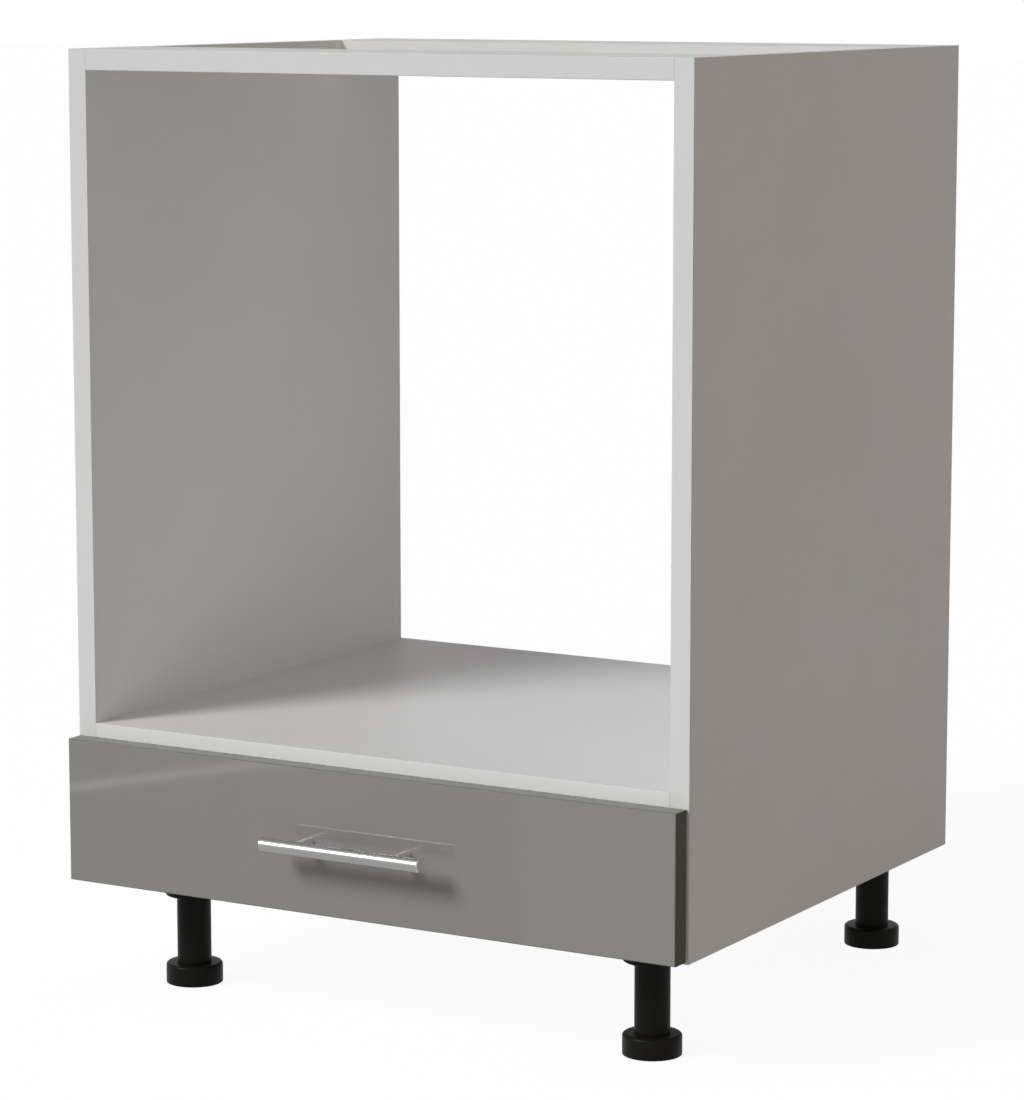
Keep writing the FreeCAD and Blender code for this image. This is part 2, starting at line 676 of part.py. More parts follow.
def cabinet_runners():
    """Bent channel on the side panel: the drawer's rear roller runs inside it, up to a stop."""
    body = new_body("cabinet_runner_left", ("-inside_face", "runner_front", "runner_under"))
    ceiling, front_top = "channel_height - steel_thickness", "channel_height - runner_notch"
    web = new_sketch(body, "web", "YZ_Plane")
    draw_outline(web, [("0", "0"), ("drawer_length", "0"), ("drawer_length", "channel_height"),
                       ("stop_front", "channel_height"), ("stop_front", front_top), ("0", front_top)])
    pad(body, web, "steel_thickness")
    floor = new_sketch(body, "floor", "XZ_Plane")
    draw_outline(floor, rectangle("0", "0", "channel_reach", "steel_thickness"))
    pad(body, floor, "drawer_length", True)
    flange = new_sketch(body, "flange", "YZ_Plane")
    draw_outline(flange, [("stop_front", f"{ceiling} - stop_drop"), ("stop_back", f"{ceiling} - stop_drop"),
                          ("stop_back", ceiling), ("drawer_length", ceiling),
                          ("drawer_length", "channel_height"), ("stop_front", "channel_height")])
    pad(body, flange, "channel_reach")
    bend(body, [("0", "0"), ("0", "channel_height")],
         [("steel_thickness", "steel_thickness"), ("steel_thickness", ceiling)])
    pin_hole = new_sketch(body, "pin_hole", "YZ_Plane", "steel_thickness")
    draw_circles(pin_hole, [("front_roller_setback - runner_setback", "front_axle_lift")],
                 "pin_diameter + fit_gap")
    pocket(body, pin_hole, "steel_thickness")
    screw_holes = new_sketch(body, "screw_holes", "YZ_Plane", "steel_thickness")
    draw_circles(screw_holes, [(y, "channel_height / 2") for y in RUNNER_SCREWS],
                 "runner_screw_diameter + fit_gap")
    pocket(body, screw_holes, "steel_thickness")
    slots = new_sketch(body, "slots", "YZ_Plane", "steel_thickness")
    draw_slots(slots, [(y, "channel_height / 2") for y in RUNNER_SLOTS], "runner_slot_length",
               "runner_slot_width")
    pocket(body, slots, "steel_thickness")
    mirrored("cabinet_runner_right", body)


def drawer_runners():
    """Bent profile that holds the drawer side: a shelf below it, and a track that rides the front roller."""
    body = new_body("drawer_runner_left",
                    ("-inside_face + steel_thickness + runner_gap", "drawer_front_back", "runner_under"))
    shelf_end, track_top = "channel_reach + drawer_board_thickness", "track_under + steel_thickness"
    section = new_sketch(body, "section", "XZ_Plane")
    draw_outline(section, [("track_reach", "0"), (shelf_end, "0"), (shelf_end, "steel_thickness"),
                           ("channel_reach", "steel_thickness"), ("channel_reach", track_top),
                           ("0", track_top), ("0", "track_under"), ("track_reach", "track_under")])
    pad(body, section, "drawer_length", True)
    bend(body, [("track_reach", "0"), ("channel_reach", track_top)],
         [("channel_reach", "steel_thickness"), ("track_reach", "track_under")])
    pin_hole = new_sketch(body, "pin_hole", "YZ_Plane", "channel_reach")
    draw_circles(pin_hole, [("drawer_length - rear_roller_inset", "rear_axle_lift")],
                 "pin_diameter + fit_gap")
    pocket(body, pin_hole, "steel_thickness")
    screw_holes = new_sketch(body, "screw_holes", "XY_Plane")
    draw_circles(screw_holes, [("channel_reach + drawer_board_thickness / 2", y) for y in RUNNER_SCREWS],
                 "runner_screw_diameter + fit_gap")
    pocket(body, screw_holes, "steel_thickness", True)
    slots = new_sketch(body, "slots", "YZ_Plane", "channel_reach")
    draw_slots(slots, [(y, "track_under / 2") for y in RUNNER_SLOTS], "runner_slot_length",
               "runner_slot_width")
    pocket(body, slots, "steel_thickness")
    mirrored("drawer_runner_right", body)


def roller(label, at, turn):
    """Nylon roller with eased edges and a recess between its hub and its rim."""
    bore, hub = "pin_diameter / 2 + pin_clearance", "roller_hub_diameter / 2"
    tread, eased = "roller_diameter / 2", "roller_diameter / 2 - roller_chamfer"
    rim = f"{tread} - roller_rim"
    body = new_body(label, at, turn)
    revolve(body, [(bore, "0"), (eased, "0"), (tread, "roller_chamfer"),
                   (tread, "roller_width - roller_chamfer"), (eased, "roller_width"), (rim, "roller_width"),
                   (rim, "roller_width - roller_recess"), (hub, "roller_width - roller_recess"),
                   (hub, "roller_width"), (bore, "roller_width")])


def rollers():
    """Two rollers on the cabinet at the front, two on the drawer at the rear, each on a riveted pin."""
    front = ("front_axle_y", "runner_under + front_axle_lift")
    rear = ("rear_axle_y", "runner_under + rear_axle_lift")
    drawer_face = "inside_face - runner_clearance"
    roller("front_roller_left", ("-inside_face + roller_start", *front), TO_RIGHT)
    roller("front_roller_right", ("inside_face - roller_start", *front), TO_LEFT)
    roller("rear_roller_left", (f"-({drawer_face}) - roller_start", *rear), TO_LEFT)
    roller("rear_roller_right", (f"{drawer_face} + roller_start", *rear), TO_RIGHT)
    axle, head = "pin_diameter / 2", "pin_head_diameter / 2"
    shoulder, head_start = "steel_thickness + pin_shoulder_thickness", "pin_length - pin_head_thickness"
    pin = new_body("pin_master", is_node=False)
    revolve(pin, [("0", "0"), (axle, "0"), (axle, "steel_thickness"), (head, "steel_thickness"),
                  (head, shoulder), (axle, shoulder), (axle, head_start), (head, head_start),
                  (head, "pin_length"), ("0", "pin_length")])
    group("front_roller_pins", pin, [(TO_RIGHT, ("-inside_face", *front)),
                                     (TO_LEFT, ("inside_face", *front))])
    group("rear_roller_pins", pin, [(TO_LEFT, (f"-({drawer_face})", *rear)),
                                    (TO_RIGHT, (drawer_face, *rear))])


def runner_screws():
    """Flat-headed screws of one size in the runners and under the drawer bottom."""
    screw = screw_master("runner_screw_master", "runner_screw", "runner_screw_length")
    head = "inside_face - steel_thickness - runner_screw_head_height"
    height = "runner_under + channel_height / 2"
    cabinet, drawer = [], []
    middle = "drawer_outer - drawer_board_thickness / 2"
    low = "runner_under - runner_screw_head_height"
    for y in RUNNER_SCREWS:
        cabinet.append((TO_LEFT, (f"-({head})", f"runner_front + {y}", height)))
        cabinet.append((TO_RIGHT, (head, f"runner_front + {y}", height)))
        drawer.append((UPRIGHT, (f"-({middle})", f"drawer_front_back + {y}", low)))
        drawer.append((UPRIGHT, (middle, f"drawer_front_back + {y}", low)))
    group("cabinet_runner_screws", screw, cabinet)
    group("drawer_runner_screws", screw, drawer)
    under = "drawer_under + groove_lift - runner_screw_head_height"
    back = "drawer_front_back + drawer_length - drawer_board_thickness / 2"
    group("drawer_bottom_screws", screw, [(UPRIGHT, (x, back, under)) for x in BOTTOM_SCREWS])


def drawer_sides():
    size = ("drawer_board_thickness", "drawer_length", "drawer_side_height")
    left = board("drawer_side_left", size, ("-drawer_outer", "drawer_front_back", "drawer_under"))
    eased = [("0", "0"), ("0", "drawer_side_height"), ("drawer_board_thickness", "drawer_side_height")]
    round_edges(left, left.Tip, lambda edge: any(lies_at(edge, x=x, z=z) for x, z in eased),
                "drawer_edge_radius")
    middle = "drawer_board_thickness / 2"
    groove_top = "bottom_top_lift + groove_clearance"
    cut_rectangle(left, size, "front", "groove", ("drawer_board_thickness - groove_depth", "groove_lift",
                                                  "drawer_board_thickness", groove_top), "drawer_length")
    drill(left, size, "left", "cam", [("cam_reach", "drawer_cam_lift")], "cam_diameter + fit_gap",
          "cam_height")
    drill(left, size, "front", "bore", [(middle, "drawer_cam_lift")], "bolt_diameter + fit_gap", "cam_reach")
    drill(left, size, "front", "dowel", [(middle, "drawer_dowel_lift")], DOWEL_HOLE, "dowel_board_depth")
    screws = [("drawer_length - drawer_board_thickness / 2", lift) for lift in BACK_SCREWS]
    drill(left, size, "left", "back_screws", screws, "back_screw_diameter + fit_gap",
          "drawer_board_thickness")
    drill(left, size, "left", "screw_heads", screws, "back_screw_head_diameter + fit_gap",
          "back_screw_head_height")
    drill(left, size, "under", "runner_screws", [(middle, y) for y in RUNNER_SCREWS],
          "runner_screw_diameter + fit_gap", "runner_screw_length - steel_thickness")
    mirrored("drawer_side_right", left)


def drawer_back():
    high = "drawer_side_height - bottom_top_lift"
    size = ("2 * drawer_inner", "drawer_board_thickness", high)
    body = board("drawer_back", size, ("-drawer_inner", "drawer_front_back + drawer_length"
                                       " - drawer_board_thickness", "drawer_under + bottom_top_lift"))
    eased = ["0", "drawer_board_thickness"]
    round_edges(body, body.Tip, lambda edge: any(lies_at(edge, y=y, z=high) for y in eased),
                "drawer_edge_radius")
    screws = [("drawer_board_thickness / 2", f"{lift} - bottom_top_lift") for lift in BACK_SCREWS]
    for end in ("left", "right"):
        drill(body, size, end, f"screws_{end}", screws, "back_screw_diameter + fit_gap",
              "back_screw_length + back_screw_head_height - drawer_board_thickness")
    holes = [(f"drawer_inner + {x}", "drawer_board_thickness / 2") for x in BOTTOM_SCREWS]
    drill(body, size, "under", "bottom_screws", holes, "runner_screw_diameter + fit_gap",
          "runner_screw_length - drawer_bottom_thickness")


def drawer_bottom():
    """Thin panel that slides in grooves from behind, below the drawer back."""
    reach = "groove_depth - groove_clearance"
    half = f"(drawer_inner + {reach})"
    size = (f"2 * {half}", f"drawer_length + {reach}", "drawer_bottom_thickness")
    body = board("drawer_bottom", size, (f"-{half}", f"drawer_front_back - ({reach})",
                                         "drawer_under + groove_lift"))
    back = f"drawer_length + {reach} - drawer_board_thickness / 2"
    drill(body, size, "under", "screws", [(f"{half} + {x}", back) for x in BOTTOM_SCREWS],
          "runner_screw_diameter + fit_gap", "drawer_bottom_thickness")


def drawer_front():
    size = ("front_width", "front_thickness", "front_height")
    half = "front_width / 2"
    rise = "drawer_under - front_under"
    body = board("drawer_front", size, (f"-{half}", "drawer_front_back - front_thickness", "front_under"))
    round_edges(body, body.Tip, lambda edge: edge.BoundBox.YMax < ON_PLANE, "front_edge_radius")
    side = "(drawer_outer - drawer_board_thickness / 2)"
    bolts = [(f"{half} {sign} {side}", f"{rise} + drawer_cam_lift") for sign in "-+"]
    dowels = [(f"{half} {sign} {side}", f"{rise} + drawer_dowel_lift") for sign in "-+"]
    drill(body, size, "back", "bolts", bolts, BOLT_HOLE, "bolt_thread_length")
    drill(body, size, "back", "dowels", dowels, DOWEL_HOLE, "dowel_side_depth")
    reach = "(drawer_inner + groove_depth)"
    groove_top = f"{rise} + bottom_top_lift + groove_clearance"
    cut_rectangle(body, size, "back", "groove", (f"{half} - {reach}", f"{rise} + groove_lift",
                                                 f"{half} + {reach}", groove_top), "groove_depth")
    holes = [(f"{half} {sign} handle_pitch / 2", "front_height / 2") for sign in "-+"]
    drill(body, size, "back", "handle_holes", holes, "handle_screw_diameter + fit_gap", "front_thickness")


def drawer_fittings(bolt, dowel):
    """What holds the drawer box together: cams and dowels at the front, screws at the back."""
    cam = cam_master("drawer_cam_master", "drawer_board_thickness / 2")
    middle = "drawer_outer - drawer_board_thickness / 2"
    cam_y, cam_z = "drawer_front_back + cam_reach", "drawer_under + drawer_cam_lift"
    dowel_z = "drawer_under + drawer_dowel_lift"
    group("drawer_cam_locks", cam, [(TO_RIGHT, ("-drawer_outer", cam_y, cam_z)),
                                    (TO_LEFT, ("drawer_outer", cam_y, cam_z))])
    bolt_y, dowel_y = "drawer_front_back - bolt_thread_length", "drawer_front_back - dowel_side_depth"
    group("drawer_cam_bolts", bolt, [(TO_BACK, (x, bolt_y, cam_z)) for x in (f"-({middle})", middle)])
    group("drawer_dowels", dowel, [(TO_BACK, (x, dowel_y, dowel_z)) for x in (f"-({middle})", middle)])
    screw = screw_master("back_screw_master", "back_screw", "back_screw_length")
    back = "drawer_front_back + drawer_length - drawer_board_thickness / 2"
    places = []
    for lift in BACK_SCREWS:
        height = f"drawer_under + {lift}"
        places.append((TO_RIGHT, ("-drawer_outer", back, height)))
        places.append((TO_LEFT, ("drawer_outer", back, height)))
    group("drawer_back_screws", screw, places)


def handle():
    """Round bar on two posts, held by screws through the drawer front."""
    radius, eased = "handle_bar_diameter / 2", "handle_bar_diameter / 2 - handle_bar_chamfer"
    bar = new_body("handle_bar", ("-handle_bar_length / 2", "handle_y", "handle_z"), TO_RIGHT)
    revolve(bar, [("0", "0"), (eased, "0"), (radius, "handle_bar_chamfer"),
                  (radius, "handle_bar_length - handle_bar_chamfer"), (eased, "handle_bar_length"),
                  ("0", "handle_bar_length")])
    seats = new_sketch(bar, "seats", "YZ_Plane", radius)
    places = [("0", f"handle_bar_length / 2 {sign} handle_pitch / 2") for sign in "-+"]
    draw_circles(seats, places, "handle_post_diameter + fit_gap")
    pocket(bar, seats, "handle_seat_depth")
    post, hole = "handle_post_diameter / 2", "handle_screw_diameter / 2 + fit_clearance"
    depth = "handle_screw_length - front_thickness + handle_screw_end_gap"
    front_face = "drawer_front_back - front_thickness"
    for side, x in (("left", "-handle_pitch / 2"), ("right", "handle_pitch / 2")):
        body = new_body(f"handle_post_{side}", (x, front_face, "handle_z"), TO_FRONT)
        revolve(body, [(hole, "0"), (post, "0"), (post, "post_length"), ("0", "post_length"),
                       ("0", depth), (hole, depth)])
    screw = screw_master("handle_screw_master", "handle_screw", "handle_screw_length")
    head = "drawer_front_back + handle_screw_head_height"
    group("handle_screws", screw, [(TO_FRONT, (f"{sign}handle_pitch / 2", head, "handle_z"))
                                   for sign in ("-", "")])


def front_bumpers():
    """Soft pads between the carcass and the closed drawer front."""
    pad_body = new_body("bumper_master", is_node=False)
    edge = "bumper_diameter / 2"
    revolve(pad_body, [("0", "0"), (edge, "0"), (edge, "bumper_thickness"), ("0", "bumper_thickness")])
    x, z = "(carcass_width - board_thickness) / 2", "front_under + front_height - bumper_drop"
    group("front_bumpers", pad_body, [(TO_FRONT, (f"{sign}{x}", "carcass_front", z)) for sign in ("-", "")])


def check_model():
    """Stop if a feature failed, a cut missed or a piece has no sound solid."""
    for thing in doc.Objects:
        if "Invalid" in thing.State or "Error" in thing.State:
            raise RuntimeError(f"{thing.Label} failed: {thing.State}")
        if thing.TypeId == "PartDesign::Pocket" and thing.Shape.Volume >= thing.BaseFeature.Shape.Volume:
            raise RuntimeError(f"{thing.Label} cuts nothing")
    for node in nodes:
        if node.Shape.isNull() or not node.Shape.isValid() or not node.Shape.Solids:
            raise RuntimeError(f"{node.Label} has no sound solid")


side_panels()
cross_boards()
edge_bands()
shared_bolt = bolt_master()
shared_dowel = dowel_master()
carcass_fittings(shared_bolt, shared_dowel)
legs()
cabinet_runners()
drawer_runners()
rollers()
runner_screws()
drawer_sides()
drawer_back()
drawer_bottom()
drawer_front()
drawer_fittings(shared_bolt, shared_dowel)
handle()
front_bumpers()
doc.recompute()
check_model()
os.makedirs("parts", exist_ok=True)
for node in nodes:
    node.Shape.exportStep(f"parts/{node.Label}.step")
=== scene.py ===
import math

import bmesh
import bpy
from mathutils import Matrix, Vector


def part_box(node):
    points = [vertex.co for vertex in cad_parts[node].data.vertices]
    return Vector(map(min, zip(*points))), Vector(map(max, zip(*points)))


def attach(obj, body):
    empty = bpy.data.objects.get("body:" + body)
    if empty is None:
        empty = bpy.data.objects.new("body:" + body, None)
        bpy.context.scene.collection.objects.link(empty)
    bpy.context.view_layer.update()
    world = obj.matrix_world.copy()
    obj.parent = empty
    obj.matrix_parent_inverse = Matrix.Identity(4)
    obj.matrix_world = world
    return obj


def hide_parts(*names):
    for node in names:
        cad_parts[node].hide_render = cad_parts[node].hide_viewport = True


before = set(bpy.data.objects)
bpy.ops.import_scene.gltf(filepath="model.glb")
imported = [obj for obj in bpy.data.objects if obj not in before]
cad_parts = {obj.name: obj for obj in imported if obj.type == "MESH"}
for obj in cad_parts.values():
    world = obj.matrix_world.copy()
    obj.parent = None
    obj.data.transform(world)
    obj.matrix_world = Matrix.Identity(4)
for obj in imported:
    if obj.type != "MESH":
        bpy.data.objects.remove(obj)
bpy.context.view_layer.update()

# Looks of an oven base cabinet: white melamine boards on black legs, and a gloss grey drawer front
# with a steel bar. Metres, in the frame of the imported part: X to the right, Y to the back, Z up.

# CAD nodes that come in sets
CARCASS_BOARDS = ["side_panel_left", "side_panel_right", "bottom_panel", "oven_shelf",
                  "top_rail_front", "top_rail_rear"]
DRAWER_BOARDS = ["drawer_side_left", "drawer_side_right", "drawer_back"]
BANDED_EDGES = ["left", "right", "bottom", "rail"]
CORNERS = ["front_left", "front_right", "rear_left", "rear_right"]
SIDES = ["left", "right"]
ENDS = ["front", "rear"]

# Camera at the photograph's angle
CAMERA_PLACE = (1.71269, -2.92358, 0.89628)
CAMERA_TILT = math.radians(81.3726)
CAMERA_TURN = math.radians(30.3603)
CAMERA_LENS = 127.77
CAMERA_SENSOR = 36.0
CAMERA_REACH = 200

# Modelling
X, Y, Z = 0, 1, 2
SAME_PLACE = 1e-6
SORT_DIGITS = 5
SMOOTH_ANGLE = math.radians(35)
FACES_DOWN = -0.999
ROUND_PROFILE = 0.5

# Threads: a tooth's flats and flanks are shares of its pitch, and a spare turn goes at each end
THREAD_FLAT = 0.3
THREAD_FLANK = 0.2
THREAD_SPARE_TURNS = 2

# Adjustable feet
FOOT_SIDES = 96
FOOT_GAP = 0.0003
FOOT_RIM_RADIUS = 0.0026
FOOT_RIM_STEPS = 6
FOOT_BASE_RADIUS = 0.0005
FOOT_BASE_STEPS = 3
FOOT_DISH_INSET = 0.005
FOOT_DISH_DEPTH = 0.0012
STEM_RADIUS = 0.0123
STEM_SINK = 0.0025
STEM_PITCH = 0.004
STEM_THREAD_DEPTH = 0.0012
STEM_STEPS = 48

# Screws: each kind has its head radius, head height, shank radius and the rounding of its head
PAN_HEAD = (0.004, 0.0025, 0.002, 0.0012)
FLAT_HEAD = (0.0035, 0.0005, 0.00175, 0.0002)
HANDLE_HEAD = (0.004, 0.0026, 0.002, 0.0012)
SUNK_HEAD = (0.004, 0.004, 0.0025, 0.0003)
SCREW_SIDES = 32
SCREW_ROUNDING_STEPS = 4
SCREW_PITCH = 0.0018
SCREW_THREAD_DEPTH = 0.0006
SCREW_STEPS = 16
RECESS_WIDTH_SHARE = 0.24
RECESS_DEPTH_SHARE = 0.75
SHANK_START_SHARE = 0.9

# Cam locks
CAM_SIDES = 48
CAM_RIM_RADIUS = 0.0005
CAM_RIM_STEPS = 2
CAM_SLOT_WIDTH = 0.0016
CAM_SLOT_DEPTH = 0.0025
CAM_SLOT_SHARE = 1.2
CAM_BORE_RADIUS = 0.00355
CAM_BORE_SIDES = 24
CAM_BORE_LIFT_SHARE = 0.68

# Colours of the finishes, in linear light
MELAMINE_WHITE = (0.85, 0.85, 0.845, 1)
MELAMINE_SHADE = (0.828, 0.828, 0.823, 1)
CHIP_DARK = (0.38, 0.26, 0.15, 1)
CHIP_LIGHT = (0.66, 0.51, 0.34, 1)
CHIP_PALE = (0.74, 0.61, 0.44, 1)
BAND_WHITE = (0.858, 0.858, 0.856, 1)
BAND_SHADE = (0.84, 0.84, 0.838, 1)
# Darker white for the bands' eased edges and thin sides: painted shade, against the light that
# their rounding catches
BAND_EDGE_PAINTED_SHADE = (0.775, 0.775, 0.771, 1)
# The shelf's band is paler than the other bands: painted light, to lift it where it sits just above
# the drawer front's top
SHELF_BAND_WHITE_PAINTED_LIGHT = (0.915, 0.915, 0.913, 1)
SHELF_BAND_SHADE_PAINTED_LIGHT = (0.9, 0.9, 0.898, 1)
FRONT_GREY = (0.294, 0.289, 0.269, 1)
FRONT_GREY_SHADE = (0.286, 0.281, 0.262, 1)
FRONT_EDGE_GREY = (0.161, 0.168, 0.14, 1)
STEEL_GREY = (0.48, 0.475, 0.465, 1)
STEEL_GREY_SHADE = (0.45, 0.445, 0.435, 1)
# Paler metal for the bar's end faces: painted light, as they see mostly the dark drawer front
STEEL_END_PAINTED_LIGHT = (0.9, 0.89, 0.875, 1)
POST_SILVER = (0.8, 0.79, 0.775, 1)
POST_SILVER_SHADE = (0.76, 0.75, 0.735, 1)
PLASTIC_BLACK = (0.0084, 0.0079, 0.0065, 1)
PLASTIC_BLACK_SHADE = (0.0103, 0.0097, 0.0081, 1)
POWDER_WHITE = (0.77, 0.77, 0.75, 1)
POWDER_WHITE_SHADE = (0.74, 0.74, 0.72, 1)
NYLON_WHITE = (0.82, 0.81, 0.77, 1)
NYLON_WHITE_SHADE = (0.77, 0.76, 0.71, 1)
FIBRE_BROWN = (0.34, 0.21, 0.12, 1)
FIBRE_BROWN_SHADE = (0.17, 0.095, 0.05, 1)
HARDBOARD_WHITE = (0.78, 0.78, 0.77, 1)
HARDBOARD_WHITE_SHADE = (0.75, 0.75, 0.74, 1)
BEECH_LIGHT = (0.68, 0.49, 0.31, 1)
BEECH_DARK = (0.48, 0.31, 0.17, 1)
BUMPER_MILKY = (0.62, 0.63, 0.64, 1)
BUMPER_MILKY_SHADE = (0.56, 0.57, 0.58, 1)
SCREW_ZINC = (0.56, 0.57, 0.58, 1)
SCREW_ZINC_SHADE = (0.48, 0.49, 0.5, 1)
CAST_ZINC = (0.52, 0.53, 0.54, 1)
CAST_ZINC_SHADE = (0.4, 0.41, 0.42, 1)
PIN_STEEL = (0.62, 0.62, 0.61, 1)
PIN_STEEL_SHADE = (0.54, 0.54, 0.53, 1)

# Surface detail. Grain, lines, flakes, speckle and smudges count marks per metre, depths are in
# metres, and a pair is a range.
NOISE_RANGE = (0.3, 0.7)
NOISE_CORE = (0.35, 0.65)
SLOW_TONE = 5.0
BRUSHING_STRETCH = (1, 0.06, 0.06)
SMUDGE_RANGE = (0.45, 0.75)
SMUDGE_SPECKLE = 240
CORE_DEPTH = 0.0004
CORE_ROUGHNESS = 0.9
REAR_FACING = 0.7
CHIP_FLAKES = 520
CHIP_SPECKLE = 1500
CHIP_PALE_MOST = 0.45
CHIP_RISE = 0.6
CHIP_DEPTH = 0.0002
PEARL_SHARE = 0.12
SATIN_SPREAD = 0.06
BAND_GRAIN = 900
BAND_ROUGHNESS = (0.34, 0.42)
BAND_DEPTH = 0.00002
# Off a band's flat front: painted shade and a rougher finish
EASED_EDGE_FACING = (-0.98, -0.9)
EASED_EDGE_ROUGHNESS = 0.9
FRONT_GRAIN = 60
FRONT_ROUGHNESS = (0.45, 0.55)
FRONT_DEPTH = 0.00001
FRONT_BROAD_FACING = (0.6, 0.75)
FRONT_FLAT_FROM, FRONT_FLAT_TO = 0.96, 0.99
FRONT_TOP_GLOSS = 0.85
FRONT_SMUDGES = 9
FRONT_SMUDGE_MOST = 0.6
FRONT_SMUDGED_GLOSS = 0.94
FRONT_COAT_ROUGHNESS = 0.06
FRONT_COAT_IOR = 1.5
BAR_LINES = 2600
BAR_ROUGHNESS = (0.25, 0.29)
BAR_DEPTH = 0.00001
BAR_SMUDGES = 30
BAR_SMUDGE_CHANGE = 0.08
BAR_END_FACING = (0.6, 0.8)
BAR_END_ROUGHNESS = 0.22
LEG_GRAIN = 1600
LEG_ROUGHNESS = (0.35, 0.43)
LEG_DEPTH = 0.00004
LEG_SMUDGES = 40
LEG_SMUDGE_CHANGE = -0.06
LEG_SPECULAR = 0.1
LACQUER_FACING = 0.5
LACQUER_GRAIN = 700
LACQUER_GRAIN_SHARE = 0.2
LACQUER_ROUGHNESS = 0.38
FIBRE_STRETCH = (1, 0.35, 1)
FIBRE_GRAIN = 900
FIBRE_ROUGHNESS = 0.85
FIBRE_DEPTH = 0.0002
BEECH_STRETCH = (0.1, 1, 1)
BEECH_GRAIN = 900
BEECH_ROUGHNESS = (0.55, 0.75)
BEECH_DEPTH = 0.0002
PLATED_SPREAD = 0.14
PLATED_DEPTH = 0.00003

# Studio light. Two low lamps show in the gloss front: a strip as a soft line, and a panel as a
# paler right end.
KEY_FROM = (-0.4, -0.7, 0.6)
KEY_STRENGTH = 1.93
KEY_ANGLE = math.radians(20)
ROOM_TONE = (0.262, 0.266, 0.275, 1)
ROOM_RIGHT = (0.428, 0.328, 0.256, 1)
ROOM_RIGHT_RANGE = (0.3, 0.9)
ROOM_FRONT = 1.0
ROOM_BEHIND = 0.52
ROOM_DEPTH = 0.8
WHITE = (1, 1, 1, 1)
FLOOR_SIZE = 60
FLOOR_DROP = 0.0002
FLOOR_TONE = 0.25
FLOOR_ROUGHNESS = 0.9
FLOOR_GLOW = 1.5
FLOOR_GLOW_ALWAYS = 0.1
FLOOR_GLOW_SEEN = 0.52
GLOSS_SHARE = 0.55
LOW_LAMP_HEIGHT = 0.02
STRIP_ENDS = ((-0.82, -0.752), (-0.59, -1.189))
STRIP_WIDTH = 0.03
STRIP_RADIANCE = 2.2
PANEL_ENDS = ((0.205, -0.569), (-0.149, -1.173))
PANEL_WIDTH = 0.4
PANEL_RADIANCE = 0.25


# Modelling tools

def clear_selection():
    if bpy.context.object and bpy.context.object.mode != "OBJECT":
        bpy.ops.object.mode_set(mode="OBJECT")
    bpy.ops.object.select_all(action="DESELECT")


def take(piece):
    """Select one piece alone and make it active."""
    clear_selection()
    bpy.context.view_layer.objects.active = piece
    piece.select_set(True)


def start_piece(name):
    """Name the primitive just added, put its place into its mesh and open it for editing."""
    piece = bpy.context.object
    piece.name = name
    piece.data.name = name
    bpy.ops.object.transform_apply(location=True, rotation=True, scale=True)
    bpy.ops.object.mode_set(mode="EDIT")
    bpy.ops.mesh.select_all(action="DESELECT")
    return piece


def add_cylinder(name, radius, low, high, sides):
    """An upright cylinder between two heights, open for editing."""
    clear_selection()
    bpy.ops.mesh.primitive_cylinder_add(vertices=sides, radius=radius, depth=high - low,
                                        location=(0, 0, (low + high) / 2))
    return start_piece(name)


def add_block(name, low, high):
    """A block between two corners."""
    clear_selection()
    middle = [(a + b) / 2 for a, b in zip(low, high)]
    bpy.ops.mesh.primitive_cube_add(size=1, location=middle)
    bpy.context.object.scale = [b - a for a, b in zip(low, high)]
    piece = start_piece(name)
    bpy.ops.object.mode_set(mode="OBJECT")
    return piece


def select_faces(piece, chosen):
    bpy.ops.mesh.select_mode(type="FACE")
    bpy.ops.mesh.select_all(action="DESELECT")
    mesh = bmesh.from_edit_mesh(piece.data)
    for face in mesh.faces:
        face.select_set(chosen(face))
    bmesh.update_edit_mesh(piece.data)


def select_edges(piece, chosen):
    bpy.ops.mesh.select_mode(type="EDGE")
    bpy.ops.mesh.select_all(action="DESELECT")
    mesh = bmesh.from_edit_mesh(piece.data)
    for edge in mesh.edges:
        if chosen(edge):
            edge.select_set(True)
    bmesh.update_edit_mesh(piece.data)


def faces_down(face):
    return face.normal.z < FACES_DOWN


def edges_at(*heights):
    """Picks the edges that lie at one of the heights."""
    return lambda edge: any(all(abs(corner.co.z - height) < SAME_PLACE for corner in edge.verts)
                            for height in heights)


def round_edges(piece, chosen, radius, steps):
    """Round the chosen edges of a piece that is open for editing."""
    select_edges(piece, chosen)
    bpy.ops.mesh.bevel(offset=radius, segments=steps, profile=ROUND_PROFILE)


def cut_with(piece, cutter):
    """Cut the shape of one piece out of another."""
    take(piece)
    cut = piece.modifiers.new("cut", "BOOLEAN")
    cut.operation = "DIFFERENCE"
    cut.solver = "EXACT"
    cut.object = cutter
    bpy.ops.object.modifier_apply(modifier=cut.name)
    bpy.data.objects.remove(cutter)


def join(name, pieces):
    clear_selection()
    for piece in pieces:
        piece.select_set(True)
    bpy.context.view_layer.objects.active = pieces[0]
    bpy.ops.object.join()
    whole = bpy.context.object
    whole.name = name
    whole.data.name = name
    return whole


